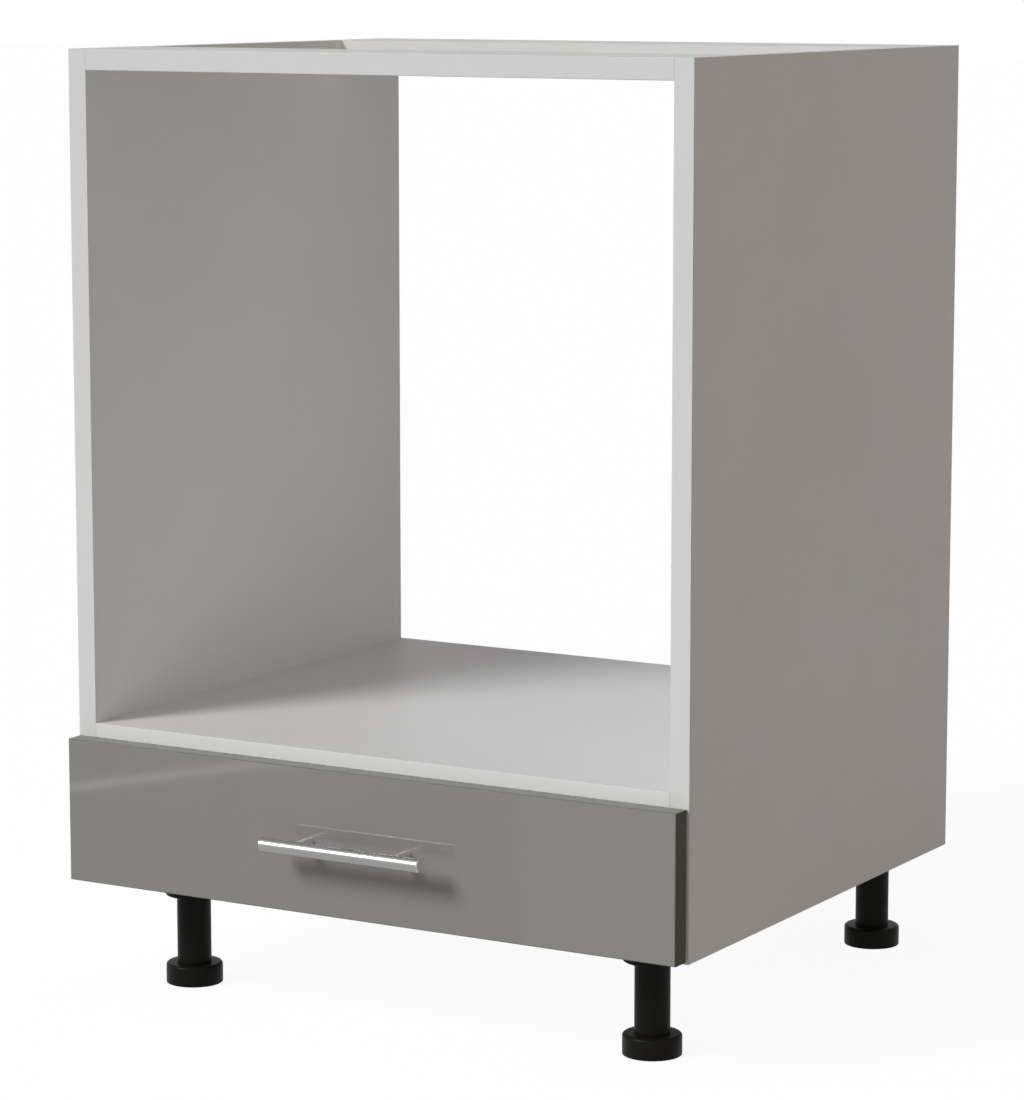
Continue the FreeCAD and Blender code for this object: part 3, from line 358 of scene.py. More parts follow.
def threaded_rod(name, radius, depth, pitch, low, high, steps):
    """A rod with a screw thread: one tooth is drawn, screwed upwards and cut flat at both ends."""
    clear_selection()
    bpy.ops.mesh.primitive_plane_add(size=radius, location=(0, 0, 0))
    rod = start_piece(name)
    bpy.ops.mesh.select_mode(type="VERT")
    bpy.ops.mesh.select_all(action="SELECT")
    bpy.ops.mesh.merge(type="CENTER")
    flat, flank = pitch * THREAD_FLAT, pitch * THREAD_FLANK
    bpy.ops.transform.translate(value=(radius - depth, 0, low - pitch))
    for out, up in ((0, flat), (depth, flank), (0, flat), (-depth, flank)):
        bpy.ops.mesh.extrude_region_move(TRANSFORM_OT_translate={"value": (out, 0, up)})
    bpy.ops.object.mode_set(mode="OBJECT")
    turns = rod.modifiers.new("turns", "SCREW")
    turns.axis = "Z"
    turns.screw_offset = pitch
    turns.iterations = math.ceil((high - low) / pitch) + THREAD_SPARE_TURNS
    turns.steps = steps
    turns.render_steps = steps
    bpy.ops.object.modifier_apply(modifier=turns.name)
    bpy.ops.object.mode_set(mode="EDIT")
    bpy.ops.mesh.select_all(action="SELECT")
    bpy.ops.mesh.remove_doubles(threshold=SAME_PLACE)
    for height, upward in ((low, False), (high, True)):
        bpy.ops.mesh.select_all(action="SELECT")
        bpy.ops.mesh.bisect(plane_co=(0, 0, height), plane_no=(0, 0, 1), use_fill=True,
                            clear_outer=upward, clear_inner=not upward)
    bpy.ops.mesh.delete_loose()
    bpy.ops.mesh.select_all(action="SELECT")
    bpy.ops.mesh.normals_make_consistent(inside=False)
    bpy.ops.object.mode_set(mode="OBJECT")
    return rod


def solid_boxes(node):
    """The lowest and highest corner of each separate solid of a CAD node."""
    mesh = bmesh.new()
    mesh.from_mesh(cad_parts[node].data)
    bmesh.ops.remove_doubles(mesh, verts=mesh.verts, dist=SAME_PLACE)
    waiting = set(mesh.verts)
    boxes = []
    while waiting:
        reached = [waiting.pop()]
        island = []
        while reached:
            corner = reached.pop()
            island.append(corner.co.copy())
            for edge in corner.link_edges:
                other = edge.other_vert(corner)
                if other in waiting:
                    waiting.remove(other)
                    reached.append(other)
        low = Vector([min(point[axis] for point in island) for axis in range(3)])
        high = Vector([max(point[axis] for point in island) for axis in range(3)])
        boxes.append((low, high))
    mesh.free()
    return sorted(boxes, key=lambda box: tuple(round(number, SORT_DIGITS) for number in box[0]))


def stand(box, axis, outward):
    """The place of a piece whose head is at the end of a box that looks outwards along an axis.
    outward says for the box's middle whether that is the way of the axis, 1, or against it, -1."""
    low, high = box
    start = (low + high) / 2
    direction = Vector((0, 0, 0))
    direction[axis] = -outward(start)
    start[axis] = low[axis] if direction[axis] > 0 else high[axis]
    turn = Vector((0, 0, 1)).rotation_difference(direction)
    return Matrix.Translation(start) @ turn.to_matrix().to_4x4()


def copy_at(master, matrix):
    """A copy of a master, with a mesh of its own, at a place."""
    piece = master.copy()
    piece.data = master.data.copy()
    bpy.context.scene.collection.objects.link(piece)
    piece.data.transform(matrix)
    return piece


def copies(name, master, matrices):
    """Copies of a master at the given places, joined in one piece. The master itself goes."""
    pieces = [copy_at(master, matrix) for matrix in matrices]
    bpy.data.objects.remove(master)
    return join(name, pieces)


def dress(piece, material):
    piece.data.materials.clear()
    piece.data.materials.append(material)


def hand_over(piece, material, node, body):
    """Finish a piece that takes the place of a CAD node."""
    take(piece)
    bpy.ops.object.shade_smooth_by_angle(angle=SMOOTH_ANGLE)
    dress(piece, material)
    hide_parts(node)
    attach(piece, body)


# Shader tools

def put(tree, kind, inputs=None, out=0, **settings):
    """Add a node, link or set its inputs and return one of its outputs."""
    node = tree.nodes.new(f"ShaderNode{kind}")
    for name, setting in settings.items():
        setattr(node, name, setting)
    for key, value in (inputs or {}).items():
        if isinstance(value, bpy.types.NodeSocket):
            tree.links.new(value, node.inputs[key])
        else:
            node.inputs[key].default_value = value
    return node.outputs[out]


def calc(tree, operation, *values):
    return put(tree, "Math", dict(enumerate(values)), operation=operation)


def blend_colour(tree, share, first, second):
    return put(tree, "Mix", {0: share, 6: first, 7: second}, out=2, data_type="RGBA")


def blend_value(tree, share, first, second):
    return put(tree, "Mix", {0: share, 2: first, 3: second}, data_type="FLOAT")


def stretch(tree, value, low, high, new_low=0.0, new_high=1.0):
    """Map a range of values to another, held at its ends."""
    return put(tree, "MapRange", {"Value": value, "From Min": low, "From Max": high,
                                  "To Min": new_low, "To Max": new_high})


def from_noise(tree, value, new_low=0.0, new_high=1.0):
    """Map the range that a noise fills to another."""
    return stretch(tree, value, *NOISE_RANGE, new_low, new_high)


def own_place(tree, scale=None):
    """The piece's own coordinates, stretched by a scale for each axis if one is given."""
    place = put(tree, "TexCoord", out="Object")
    return put(tree, "Mapping", {"Vector": place, "Scale": scale}) if scale else place


def split(tree, vector):
    """The parts of a vector along X, Y and Z."""
    node = tree.nodes.new("ShaderNodeSeparateXYZ")
    tree.links.new(vector, node.inputs[0])
    return node.outputs


def facing(tree):
    """The way a face looks, along the piece's own X, Y and Z."""
    return split(tree, put(tree, "TexCoord", out="Normal"))


def noise(tree, place, scale, detail, roughness):
    return put(tree, "TexNoise", {"Vector": place, "Scale": scale, "Detail": detail,
                                  "Roughness": roughness})


def bump(tree, height, distance):
    return put(tree, "Bump", {"Height": height, "Distance": distance, "Strength": 1.0})


def new_group(name, inputs, outputs):
    """A shader node group, with its inputs and outputs as sockets to read and to link."""
    group = bpy.data.node_groups.new(name, "ShaderNodeTree")
    for label, kind in inputs.items():
        group.interface.new_socket(label, in_out="INPUT", socket_type=f"NodeSocket{kind}")
    for label, kind in outputs.items():
        group.interface.new_socket(label, in_out="OUTPUT", socket_type=f"NodeSocket{kind}")
    given = group.nodes.new("NodeGroupInput").outputs
    result = group.nodes.new("NodeGroupOutput").inputs
    return group, given, result


def use(tree, group, **inputs):
    """Place a group in a material and return its outputs."""
    node = tree.nodes.new("ShaderNodeGroup")
    node.node_tree = group
    for name, value in inputs.items():
        node.inputs[name].default_value = value
    return node.outputs


def new_material(name):
    material = bpy.data.materials.new(name)
    material.use_nodes = True
    return material, material.node_tree, material.node_tree.nodes["Principled BSDF"]


def set_shader(tree, shader, **inputs):
    """Link or set the shader's sockets: base_color stands for Base Color, and so on."""
    names = {socket.name.replace(" ", "_").lower(): socket for socket in shader.inputs}
    for name, value in inputs.items():
        if isinstance(value, bpy.types.NodeSocket):
            tree.links.new(value, names[name])
        else:
            names[name].default_value = value


# Effects that several finishes share

def make_board_core():
    """Where a coated board shows its raw core: in holes and, if Raw Rear is 1, on its rear edge."""
    tree, given, result = new_group(
        "board core", {"Low": "Vector", "High": "Vector", "Raw Rear": "Float"}, {"Core": "Float"})
    place = own_place(tree)
    above = put(tree, "VectorMath", {0: place, 1: given["Low"]}, operation="SUBTRACT")
    below = put(tree, "VectorMath", {0: given["High"], 1: place}, operation="SUBTRACT")
    nearest = split(tree, put(tree, "VectorMath", {0: above, 1: below}, operation="MINIMUM"))
    inner = calc(tree, "MINIMUM", calc(tree, "MINIMUM", nearest["X"], nearest["Y"]), nearest["Z"])
    drilled = calc(tree, "GREATER_THAN", inner, CORE_DEPTH)
    at_rear = calc(tree, "LESS_THAN", split(tree, below)["Y"], CORE_DEPTH)
    looks_back = calc(tree, "GREATER_THAN", facing(tree)["Y"], REAR_FACING)
    rear = calc(tree, "MULTIPLY", calc(tree, "MULTIPLY", at_rear, looks_back), given["Raw Rear"])
    tree.links.new(calc(tree, "MAXIMUM", drilled, rear), result["Core"])
    return tree


def make_chipboard():
    """Raw chipboard: flat flakes of pressed wood with a fine speckle."""
    tree, _, result = new_group("chipboard", {}, {"Color": "Color", "Height": "Float"})
    place = own_place(tree)
    flakes = tree.nodes.new("ShaderNodeTexVoronoi")
    flakes.inputs["Scale"].default_value = CHIP_FLAKES
    flakes.inputs["Randomness"].default_value = 1
    tree.links.new(place, flakes.inputs["Vector"])
    shade = put(tree, "SeparateColor", {0: flakes.outputs["Color"]})
    speckle = noise(tree, place, CHIP_SPECKLE, detail=4, roughness=0.7)
    wood = blend_colour(tree, shade, CHIP_DARK, CHIP_LIGHT)
    pale = stretch(tree, speckle, *NOISE_CORE, 0.0, CHIP_PALE_MOST)
    tree.links.new(blend_colour(tree, pale, wood, CHIP_PALE), result["Color"])
    rise = calc(tree, "MULTIPLY", flakes.outputs["Distance"], CHIP_RISE)
    tree.links.new(calc(tree, "ADD", rise, speckle), result["Height"])
    return tree


def make_fine_grain():
    """The fine pebble of a pressed or moulded surface, with a slow change of tone."""
    tree, given, result = new_group("fine grain", {"Scale": "Float"},
                                    {"Tone": "Float", "Height": "Float"})
    place = own_place(tree)
    tree.links.new(noise(tree, place, given["Scale"], detail=2, roughness=0.6), result["Height"])
    slow = noise(tree, place, SLOW_TONE, detail=3, roughness=0.55)
    tree.links.new(from_noise(tree, slow), result["Tone"])
    return tree


def make_brushing():
    """Fine lines round an axis that runs along X."""
    tree, given, result = new_group("brushing", {"Scale": "Float"},
                                    {"Tone": "Float", "Height": "Float"})
    place = own_place(tree, BRUSHING_STRETCH)
    lines = noise(tree, place, given["Scale"], detail=4, roughness=0.65)
    tree.links.new(lines, result["Height"])
    tree.links.new(from_noise(tree, lines), result["Tone"])
    return tree


def make_handling():
    """Faint smudges of a handled surface: a mask from 0 to 1."""
    tree, given, result = new_group("handling", {"Scale": "Float"}, {"Smudge": "Float"})
    place = own_place(tree)
    broad = noise(tree, place, given["Scale"], detail=3, roughness=0.6)
    fine = noise(tree, place, SMUDGE_SPECKLE, detail=3, roughness=0.6)
    smudge = calc(tree, "MULTIPLY", stretch(tree, broad, *SMUDGE_RANGE), fine)
    tree.links.new(smudge, result["Smudge"])
    return tree


BOARD_CORE = make_board_core()
CHIPBOARD = make_chipboard()
FINE_GRAIN = make_fine_grain()
BRUSHING = make_brushing()
HANDLING = make_handling()


# Finishes

def smudged(tree, rough, scale, change):
    """Change a roughness where the surface has been handled."""
    smudge = use(tree, HANDLING, Scale=scale)["Smudge"]
    return calc(tree, "ADD", rough, calc(tree, "MULTIPLY", smudge, change))


def grained_finish(name, tones, scale, rough, depth=None, **sockets):
    """A fine grain with two tones, a range of roughness and, if it can be felt, a depth."""
    material, tree, shader = new_material(name)
    grain = use(tree, FINE_GRAIN, Scale=scale)
    set_shader(tree, shader, base_color=blend_colour(tree, grain["Tone"], *tones),
               roughness=from_noise(tree, grain["Height"], *rough), **sockets)
    if depth:
        set_shader(tree, shader, normal=bump(tree, grain["Height"], depth))
    return material


def plated_finish(name, tones, scale, rough):
    """Plated or cast metal: a fine grain in its tone and gloss."""
    material, tree, shader = new_material(name)
    grain = use(tree, FINE_GRAIN, Scale=scale)
    metal = blend_colour(tree, stretch(tree, grain["Height"], *NOISE_CORE), *tones)
    set_shader(tree, shader, base_color=metal, metallic=1.0,
               roughness=from_noise(tree, grain["Height"], rough, rough + PLATED_SPREAD),
               normal=bump(tree, grain["Height"], PLATED_DEPTH))
    return material


def coated_board(name, node, scale, rough, raw_rear):
    """White melamine on chipboard: satin pearl faces, raw core in holes and on a rear edge."""
    material, tree, shader = new_material(f"{name}_{node}")
    low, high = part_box(node)
    core = use(tree, BOARD_CORE, **{"Low": low, "High": high, "Raw Rear": raw_rear})["Core"]
    chips = use(tree, CHIPBOARD)
    grain = use(tree, FINE_GRAIN, Scale=scale)
    white = blend_colour(tree, grain["Tone"], MELAMINE_WHITE, MELAMINE_SHADE)
    satin = stretch(tree, grain["Tone"], 0.0, 1.0, rough, rough + SATIN_SPREAD)
    pearl = calc(tree, "MULTIPLY", grain["Height"], PEARL_SHARE)
    height = blend_value(tree, core, pearl, chips["Height"])
    set_shader(tree, shader, base_color=blend_colour(tree, core, white, chips["Color"]),
               roughness=blend_value(tree, core, satin, CORE_ROUGHNESS),
               normal=bump(tree, height, CHIP_DEPTH))
    return material


def edge_band_finish(name, light, dark):
    """Thin plastic strip, a little smoother and cooler than the boards. Off its flat front it is
    rougher and darker; the darker colour is painted shade.
    """
    material, tree, shader = new_material(name)
    grain = use(tree, FINE_GRAIN, Scale=BAND_GRAIN)
    # Every face but the flat front, chiefly the eased edges, is rougher and gets painted shade
    eased_edges = stretch(tree, facing(tree)["Y"], *EASED_EDGE_FACING)
    white = blend_colour(tree, grain["Tone"], light, dark)
    satin = from_noise(tree, grain["Height"], *BAND_ROUGHNESS)
    set_shader(tree, shader, base_color=blend_colour(tree, eased_edges, white, BAND_EDGE_PAINTED_SHADE),
               roughness=blend_value(tree, eased_edges, satin, EASED_EDGE_ROUGHNESS),
               normal=bump(tree, grain["Height"], BAND_DEPTH))
    return material


def gloss_front_finish():
    """Mirror-smooth grey face with darker banded edges and a satin back."""
    material, tree, shader = new_material("gloss_grey_front")
    looks = facing(tree)
    broad = stretch(tree, calc(tree, "ABSOLUTE", looks["Y"]), *FRONT_BROAD_FACING)
    flat_face = stretch(tree, looks["Y"], -FRONT_FLAT_TO, -FRONT_FLAT_FROM, 1.0, 0.0)
    flat_top = stretch(tree, looks["Z"], FRONT_FLAT_FROM, FRONT_FLAT_TO, 0.0, FRONT_TOP_GLOSS)
    grain = use(tree, FINE_GRAIN, Scale=FRONT_GRAIN)
    smudge = use(tree, HANDLING, Scale=FRONT_SMUDGES)["Smudge"]
    grey = blend_colour(tree, grain["Tone"], FRONT_GREY, FRONT_GREY_SHADE)
    clean = stretch(tree, smudge, 0.0, FRONT_SMUDGE_MOST, 1.0, FRONT_SMUDGED_GLOSS)
    lacquer = calc(tree, "MULTIPLY", calc(tree, "MAXIMUM", flat_face, flat_top), clean)
    set_shader(tree, shader, base_color=blend_colour(tree, broad, FRONT_EDGE_GREY, grey),
               roughness=from_noise(tree, grain["Height"], *FRONT_ROUGHNESS),
               specular_ior_level=0.0, coat_weight=lacquer, coat_roughness=FRONT_COAT_ROUGHNESS,
               coat_ior=FRONT_COAT_IOR, normal=bump(tree, grain["Height"], FRONT_DEPTH))
    return material


def handle_finish():
    """Brushed steel: fine lines round the bar, and smoother turned ends with a paler metal that is
    painted light.
    """
    material, tree, shader = new_material("brushed_steel_handle")
    lines = use(tree, BRUSHING, Scale=BAR_LINES)
    turned = stretch(tree, calc(tree, "ABSOLUTE", facing(tree)["X"]), *BAR_END_FACING)
    steel = blend_colour(tree, lines["Tone"], STEEL_GREY, STEEL_GREY_SHADE)
    brushed = stretch(tree, lines["Tone"], 0.0, 1.0, *BAR_ROUGHNESS)
    rough = smudged(tree, brushed, BAR_SMUDGES, BAR_SMUDGE_CHANGE)
    # The end faces take a paler metal: painted light
    set_shader(tree, shader, base_color=blend_colour(tree, turned, steel, STEEL_END_PAINTED_LIGHT),
               metallic=1.0, roughness=blend_value(tree, turned, rough, BAR_END_ROUGHNESS),
               normal=bump(tree, lines["Height"], BAR_DEPTH))
    return material


def leg_plastic_finish():
    """Moulded black plastic with a fine spark-eroded grain."""
    material, tree, shader = new_material("black_leg_plastic")
    grain = use(tree, FINE_GRAIN, Scale=LEG_GRAIN)
    black = blend_colour(tree, grain["Tone"], PLASTIC_BLACK, PLASTIC_BLACK_SHADE)
    moulded = from_noise(tree, grain["Height"], *LEG_ROUGHNESS)
    rough = smudged(tree, moulded, LEG_SMUDGES, LEG_SMUDGE_CHANGE)
    set_shader(tree, shader, base_color=black, roughness=rough, specular_ior_level=LEG_SPECULAR,
               normal=bump(tree, grain["Height"], LEG_DEPTH))
    return material


def hardboard_finish():
    """Thin fibre board: white lacquer on top, brown felted fibre below and on its edges."""
    material, tree, shader = new_material("white_hardboard")
    lacquer = calc(tree, "GREATER_THAN", facing(tree)["Z"], LACQUER_FACING)
    grain = use(tree, FINE_GRAIN, Scale=LACQUER_GRAIN)
    fibre = noise(tree, own_place(tree, FIBRE_STRETCH), FIBRE_GRAIN, detail=5, roughness=0.7)
    brown = blend_colour(tree, fibre, FIBRE_BROWN_SHADE, FIBRE_BROWN)
    white = blend_colour(tree, grain["Tone"], HARDBOARD_WHITE, HARDBOARD_WHITE_SHADE)
    smoothed = calc(tree, "MULTIPLY", grain["Height"], LACQUER_GRAIN_SHARE)
    height = blend_value(tree, lacquer, fibre, smoothed)
    set_shader(tree, shader, base_color=blend_colour(tree, lacquer, brown, white),
               roughness=blend_value(tree, lacquer, FIBRE_ROUGHNESS, LACQUER_ROUGHNESS),
               normal=bump(tree, height, FIBRE_DEPTH))
    return material


def beech_finish():
    """Beech dowel: straight grain with short flecks."""
    material, tree, shader = new_material("beech_dowel")
    grain = noise(tree, own_place(tree, BEECH_STRETCH), BEECH_GRAIN, detail=4, roughness=0.6)
    set_shader(tree, shader, base_color=blend_colour(tree, grain, BEECH_DARK, BEECH_LIGHT),
               roughness=from_noise(tree, grain, *BEECH_ROUGHNESS),
               normal=bump(tree, grain, BEECH_DEPTH))
    return material


ZINC_SCREW = plated_finish("zinc_screw", (SCREW_ZINC, SCREW_ZINC_SHADE), scale=1200, rough=0.22)
ZINC_CAM = plated_finish("zinc_cam", (CAST_ZINC, CAST_ZINC_SHADE), scale=1500, rough=0.38)
BRIGHT_STEEL = plated_finish("bright_steel", (PIN_STEEL, PIN_STEEL_SHADE), scale=900, rough=0.2)
LEG_PLASTIC = leg_plastic_finish()
BEECH = beech_finish()
# Satin silver lacquer, paler and more even than the bar
POST_LACQUER = grained_finish("brushed_steel_post", (POST_SILVER, POST_SILVER_SHADE), scale=1800,
                              rough=(0.25, 0.33), depth=0.00002, metallic=0.6)
# White powder coat on sheet steel, with its soft orange peel
POWDER_COAT = grained_finish("white_runner_steel", (POWDER_WHITE, POWDER_WHITE_SHADE), scale=420,
                             rough=(0.3, 0.42), depth=0.0001)
# White nylon, waxy and a little translucent
NYLON = grained_finish("white_roller_nylon", (NYLON_WHITE, NYLON_WHITE_SHADE), scale=1100,
                       rough=(0.42, 0.55), depth=0.00004, subsurface_weight=0.2,
                       subsurface_scale=0.002)
# Milky soft pad
SOFT_PAD = grained_finish("clear_bumper", (BUMPER_MILKY, BUMPER_MILKY_SHADE), scale=800,
                          rough=(0.25, 0.4), transmission_weight=0.35)


def dress_nodes():
    """Give every CAD node that stays in sight its finish."""
    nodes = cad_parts
    for node in CARCASS_BOARDS:
        dress(nodes[node], coated_board("white_melamine", node, scale=1400, rough=0.42,
                                        raw_rear=1.0))
    for node in DRAWER_BOARDS:
        dress(nodes[node], coated_board("white_drawer_board", node, scale=1700, rough=0.36,
                                        raw_rear=0.0))
    band = edge_band_finish("white_edge_band", BAND_WHITE, BAND_SHADE)
    for edge in BANDED_EDGES:
        dress(nodes[f"edge_band_{edge}"], band)
    # The shelf's band gets painted light: a paler white than the other bands
    shelf_band = edge_band_finish("white_shelf_band", SHELF_BAND_WHITE_PAINTED_LIGHT, SHELF_BAND_SHADE_PAINTED_LIGHT)
    dress(nodes["edge_band_shelf"], shelf_band)
    dress(nodes["drawer_front"], gloss_front_finish())
    dress(nodes["drawer_bottom"], hardboard_finish())
    dress(nodes["handle_bar"], handle_finish())
    dress(nodes["front_bumpers"], SOFT_PAD)
    for corner in CORNERS:
        dress(nodes[f"leg_socket_{corner}"], LEG_PLASTIC)
        dress(nodes[f"leg_tube_{corner}"], LEG_PLASTIC)
    for side in SIDES:
        dress(nodes[f"handle_post_{side}"], POST_LACQUER)
        dress(nodes[f"cabinet_runner_{side}"], POWDER_COAT)
        dress(nodes[f"drawer_runner_{side}"], POWDER_COAT)
    for end in ENDS:
        dress(nodes[f"{end}_roller_pins"], BRIGHT_STEEL)
        for side in SIDES:
            dress(nodes[f"{end}_roller_{side}"], NYLON)
    for node in ("cam_bolts", "drawer_cam_bolts"):
        dress(nodes[node], ZINC_SCREW)
    for node in ("dowels", "drawer_dowels"):
        dress(nodes[node], BEECH)


# Pieces with more detail than their CAD solids

def foot_master(radius, height, top):
    """Round foot with an eased rim and a dished base, on a threaded stem."""
    disc = add_cylinder("foot_disc", radius, 0, height, FOOT_SIDES)
    round_edges(disc, edges_at(height), FOOT_RIM_RADIUS, FOOT_RIM_STEPS)
    round_edges(disc, edges_at(0), FOOT_BASE_RADIUS, FOOT_BASE_STEPS)
    select_faces(disc, faces_down)
    bpy.ops.mesh.inset(thickness=FOOT_DISH_INSET)
    bpy.ops.mesh.extrude_region_move(TRANSFORM_OT_translate={"value": (0, 0, FOOT_DISH_DEPTH)})
    bpy.ops.object.mode_set(mode="OBJECT")
    stem = threaded_rod("stem", STEM_RADIUS, STEM_THREAD_DEPTH, STEM_PITCH, height - STEM_SINK,
                        top, STEM_STEPS)
    return join("foot_master", [disc, stem])


def make_feet():
    low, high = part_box("foot_front_left")
    tube_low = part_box("leg_tube_front_left")[0].z
    master = foot_master((high.x - low.x) / 2, tube_low - FOOT_GAP - low.z, high.z - low.z)
    for corner in CORNERS:
        low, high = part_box(f"foot_{corner}")
        place = Matrix.Translation(((low.x + high.x) / 2, (low.y + high.y) / 2, low.z))
        foot = copy_at(master, place)
        foot.name = f"threaded_foot_{corner}"
        hand_over(foot, LEG_PLASTIC, f"foot_{corner}", f"foot_{corner}")
    bpy.data.objects.remove(master)


def cross_recess(piece, reach, width, depth):
    """Cut the cross of a screwdriver into the underside of a head."""
    for along, across in ((reach, width), (width, reach)):
        cutter = add_block("cutter", (-along / 2, -across / 2, -depth),
                           (along / 2, across / 2, depth))
        cut_with(piece, cutter)


def screw_master(kind, length):
    """A screw that stands on its head, with a cross recess and a thread."""
    head_radius, head_height, shank_radius, rounding = kind
    head = add_cylinder("screw_head", head_radius, 0, head_height, SCREW_SIDES)
    round_edges(head, edges_at(0), rounding, SCREW_ROUNDING_STEPS)
    bpy.ops.object.mode_set(mode="OBJECT")
    cross_recess(head, head_radius, head_radius * RECESS_WIDTH_SHARE,
                 head_height * RECESS_DEPTH_SHARE)
    shank = threaded_rod("screw_shank", shank_radius, SCREW_THREAD_DEPTH, SCREW_PITCH,
                         head_height * SHANK_START_SHARE, length, SCREW_STEPS)
    return join("screw_master", [head, shank])


def make_screws(node, body, kind, axis, outward):
    """Replace a node of plain screws by screws of one kind that lie along an axis."""
    boxes = solid_boxes(node)
    low, high = boxes[0]
    master = screw_master(kind, high[axis] - low[axis])
    places = [stand(box, axis, outward) for box in boxes]
    screws = copies(f"{node}_cross_head", master, places)
    hand_over(screws, ZINC_SCREW, node, body)


def side_of(place):
    return 1 if place.x > 0 else -1


def always(way):
    return lambda place: way


def make_all_screws():
    down, back, inwards = always(-1), always(1), lambda place: -side_of(place)
    make_screws("leg_screws", "carcass", PAN_HEAD, Z, down)
    make_screws("cabinet_runner_screws", "carcass", FLAT_HEAD, X, inwards)
    make_screws("drawer_runner_screws", "drawer", FLAT_HEAD, Z, down)
    make_screws("drawer_bottom_screws", "drawer", FLAT_HEAD, Z, down)
    make_screws("handle_screws", "drawer", HANDLE_HEAD, Y, back)
    make_screws("drawer_back_screws", "drawer", SUNK_HEAD, X, side_of)


def cam_master(radius, height):
    """Die-cast cam: eased rims, cross slot in its face, and a bore for the bolt on its left."""
    cam = add_cylinder("cam_master", radius, 0, height, CAM_SIDES)
    round_edges(cam, edges_at(0, height), CAM_RIM_RADIUS, CAM_RIM_STEPS)
    clear_selection()
    bpy.ops.mesh.primitive_cylinder_add(
        vertices=CAM_BORE_SIDES, radius=CAM_BORE_RADIUS, depth=radius,
        location=(-radius / 2, 0, height * CAM_BORE_LIFT_SHARE), rotation=(0, math.pi / 2, 0))
    bpy.ops.object.transform_apply(location=True, rotation=True, scale=True)
    cut_with(cam, bpy.context.object)
    cross_recess(cam, radius * CAM_SLOT_SHARE, CAM_SLOT_WIDTH, CAM_SLOT_DEPTH)
    return cam


def make_cams(node, body, axis, outward, spin):
    """Replace a node of plain cams. spin turns the bore of a cam at a place to its bolt."""
    boxes = solid_boxes(node)
    low, high = boxes[0]
    master = cam_master((high.y - low.y) / 2, high[axis] - low[axis])
    places = []
    for box in boxes:
        turn = Matrix.Rotation(spin((box[0] + box[1]) / 2), 4, "Z")
        places.append(stand(box, axis, outward) @ turn)
    cams = copies(f"{node}_cross_slot", master, places)
    hand_over(cams, ZINC_CAM, node, body)


def make_all_cams():
    make_cams("cam_locks", "carcass", Z, always(-1),
              lambda place: 0 if place.x < 0 else math.pi)
    make_cams("drawer_cam_locks", "drawer", X, side_of,
              lambda place: side_of(place) * math.pi / 2)


# Stage

def seen_share(tree):
    """1 for the eye, less for reflections, 0 for the light that falls on the object."""
    path = tree.nodes.new("ShaderNodeLightPath").outputs
    mirrored = calc(tree, "MAXIMUM", path["Is Glossy Ray"], path["Is Transmission Ray"])
    return calc(tree, "MAXIMUM", path["Is Camera Ray"],
                calc(tree, "MULTIPLY", mirrored, GLOSS_SHARE))


def mix_shaders(tree, share, first, second):
    node = tree.nodes.new("ShaderNodeMixShader")
    for socket, source in zip(node.inputs, (share, first, second)):
        tree.links.new(source, socket)
    return node.outputs[0]


def make_floor():
    """Pale floor: white to the eye with a faint shadow, grey to the light, clear from below."""
    clear_selection()
    bpy.ops.mesh.primitive_plane_add(size=FLOOR_SIZE, location=(0, 0, -FLOOR_DROP))
    floor = bpy.context.object
    floor.name = "floor"
    material, tree, shader = new_material("pale_floor")
    set_shader(tree, shader, base_color=(FLOOR_TONE, FLOOR_TONE, FLOOR_TONE, 1),
               roughness=FLOOR_ROUGHNESS, specular_ior_level=0.0)
    glow = put(tree, "Emission", {"Strength": FLOOR_GLOW})
    seen_glow = calc(tree, "MULTIPLY", seen_share(tree), FLOOR_GLOW_SEEN)
    glow_share = calc(tree, "ADD", seen_glow, FLOOR_GLOW_ALWAYS)
    surface = mix_shaders(tree, glow_share, shader.outputs[0], glow)
    from_below = put(tree, "NewGeometry", out="Backfacing")
    clear = put(tree, "BsdfTransparent")
    tree.links.new(mix_shaders(tree, from_below, surface, clear),
                   tree.nodes["Material Output"].inputs["Surface"])
    dress(floor, material)


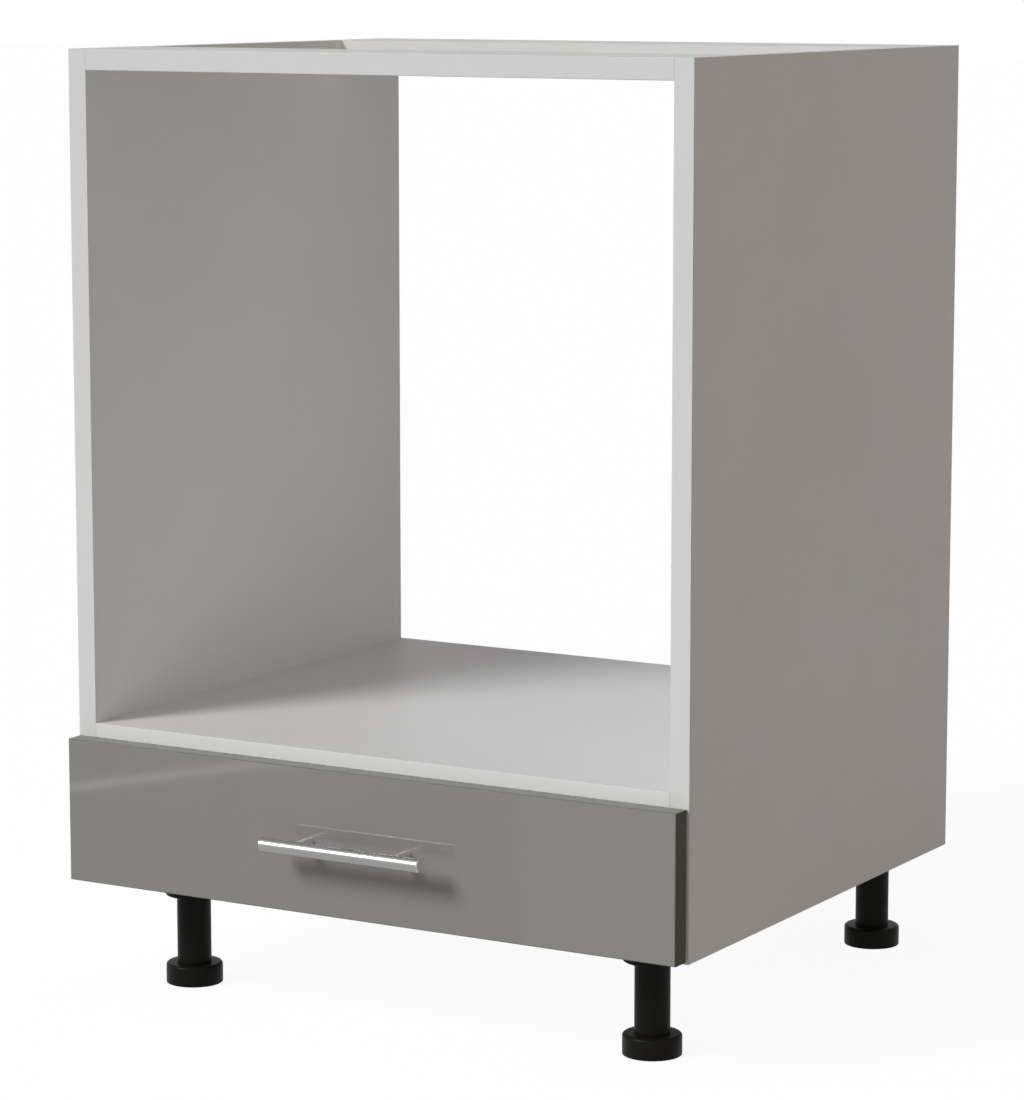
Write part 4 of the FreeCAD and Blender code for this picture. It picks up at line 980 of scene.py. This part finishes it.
def make_world():
    """Soft light from all round: warm on the right, dimmer from behind, white to the eye."""
    world = bpy.data.worlds.new("studio")
    bpy.context.scene.world = world
    world.use_nodes = True
    tree = world.node_tree
    direction = split(tree, put(tree, "TexCoord", out="Generated"))
    right = stretch(tree, direction["X"], *ROOM_RIGHT_RANGE)
    depth = stretch(tree, direction["Y"], -ROOM_DEPTH, ROOM_DEPTH, ROOM_FRONT, ROOM_BEHIND)
    tone = blend_colour(tree, right, ROOM_TONE, ROOM_RIGHT)
    around = put(tree, "VectorMath", {0: tone, "Scale": depth}, operation="SCALE")
    back = tree.nodes["Background"].inputs
    tree.links.new(blend_colour(tree, seen_share(tree), around, WHITE), back["Color"])
    back["Strength"].default_value = 1.0


def add_lamp(light, place=(0, 0, 0), source=(0, 0, 1)):
    """Put a lamp at a place, shining from the direction of its source."""
    lamp = bpy.data.objects.new(light.name, light)
    lamp.location = place
    lamp.rotation_euler = Vector(source).to_track_quat("Z", "Y").to_euler()
    bpy.context.scene.collection.objects.link(lamp)
    return lamp


def add_low_lamp(name, ends, width, radiance):
    """A flat lamp close to the floor that shines upwards. Its middle line joins two points."""
    near, far = (Vector((*end, LOW_LAMP_HEIGHT)) for end in ends)
    light = bpy.data.lights.new(name, "AREA")
    light.shape = "RECTANGLE"
    light.size = width
    light.size_y = (far - near).length
    light.energy = radiance * math.pi * light.size * light.size_y
    lamp = add_lamp(light, place=(near + far) / 2)
    bearing = math.atan2(far.y - near.y, far.x - near.x)
    lamp.rotation_euler = (math.pi, 0, math.pi / 2 + bearing)
    lamp.visible_camera = False


def make_lights():
    key = bpy.data.lights.new("key", "SUN")
    key.energy = KEY_STRENGTH
    key.angle = KEY_ANGLE
    add_lamp(key, source=KEY_FROM)
    add_low_lamp("strip", STRIP_ENDS, STRIP_WIDTH, STRIP_RADIANCE)
    add_low_lamp("panel", PANEL_ENDS, PANEL_WIDTH, PANEL_RADIANCE)


def make_camera():
    camera = bpy.data.cameras.new("camera")
    camera.lens = CAMERA_LENS
    camera.sensor_width = CAMERA_SENSOR
    camera.sensor_fit = "AUTO"
    camera.clip_end = CAMERA_REACH
    eye = bpy.data.objects.new("camera", camera)
    eye.location = CAMERA_PLACE
    eye.rotation_euler = (CAMERA_TILT, 0, CAMERA_TURN)
    bpy.context.scene.collection.objects.link(eye)
    bpy.context.scene.camera = eye


make_camera()
dress_nodes()
make_feet()
make_all_screws()
make_all_cams()
make_floor()
make_world()
make_lights()
bpy.context.scene.view_settings.view_transform = "Standard"

clear_selection()
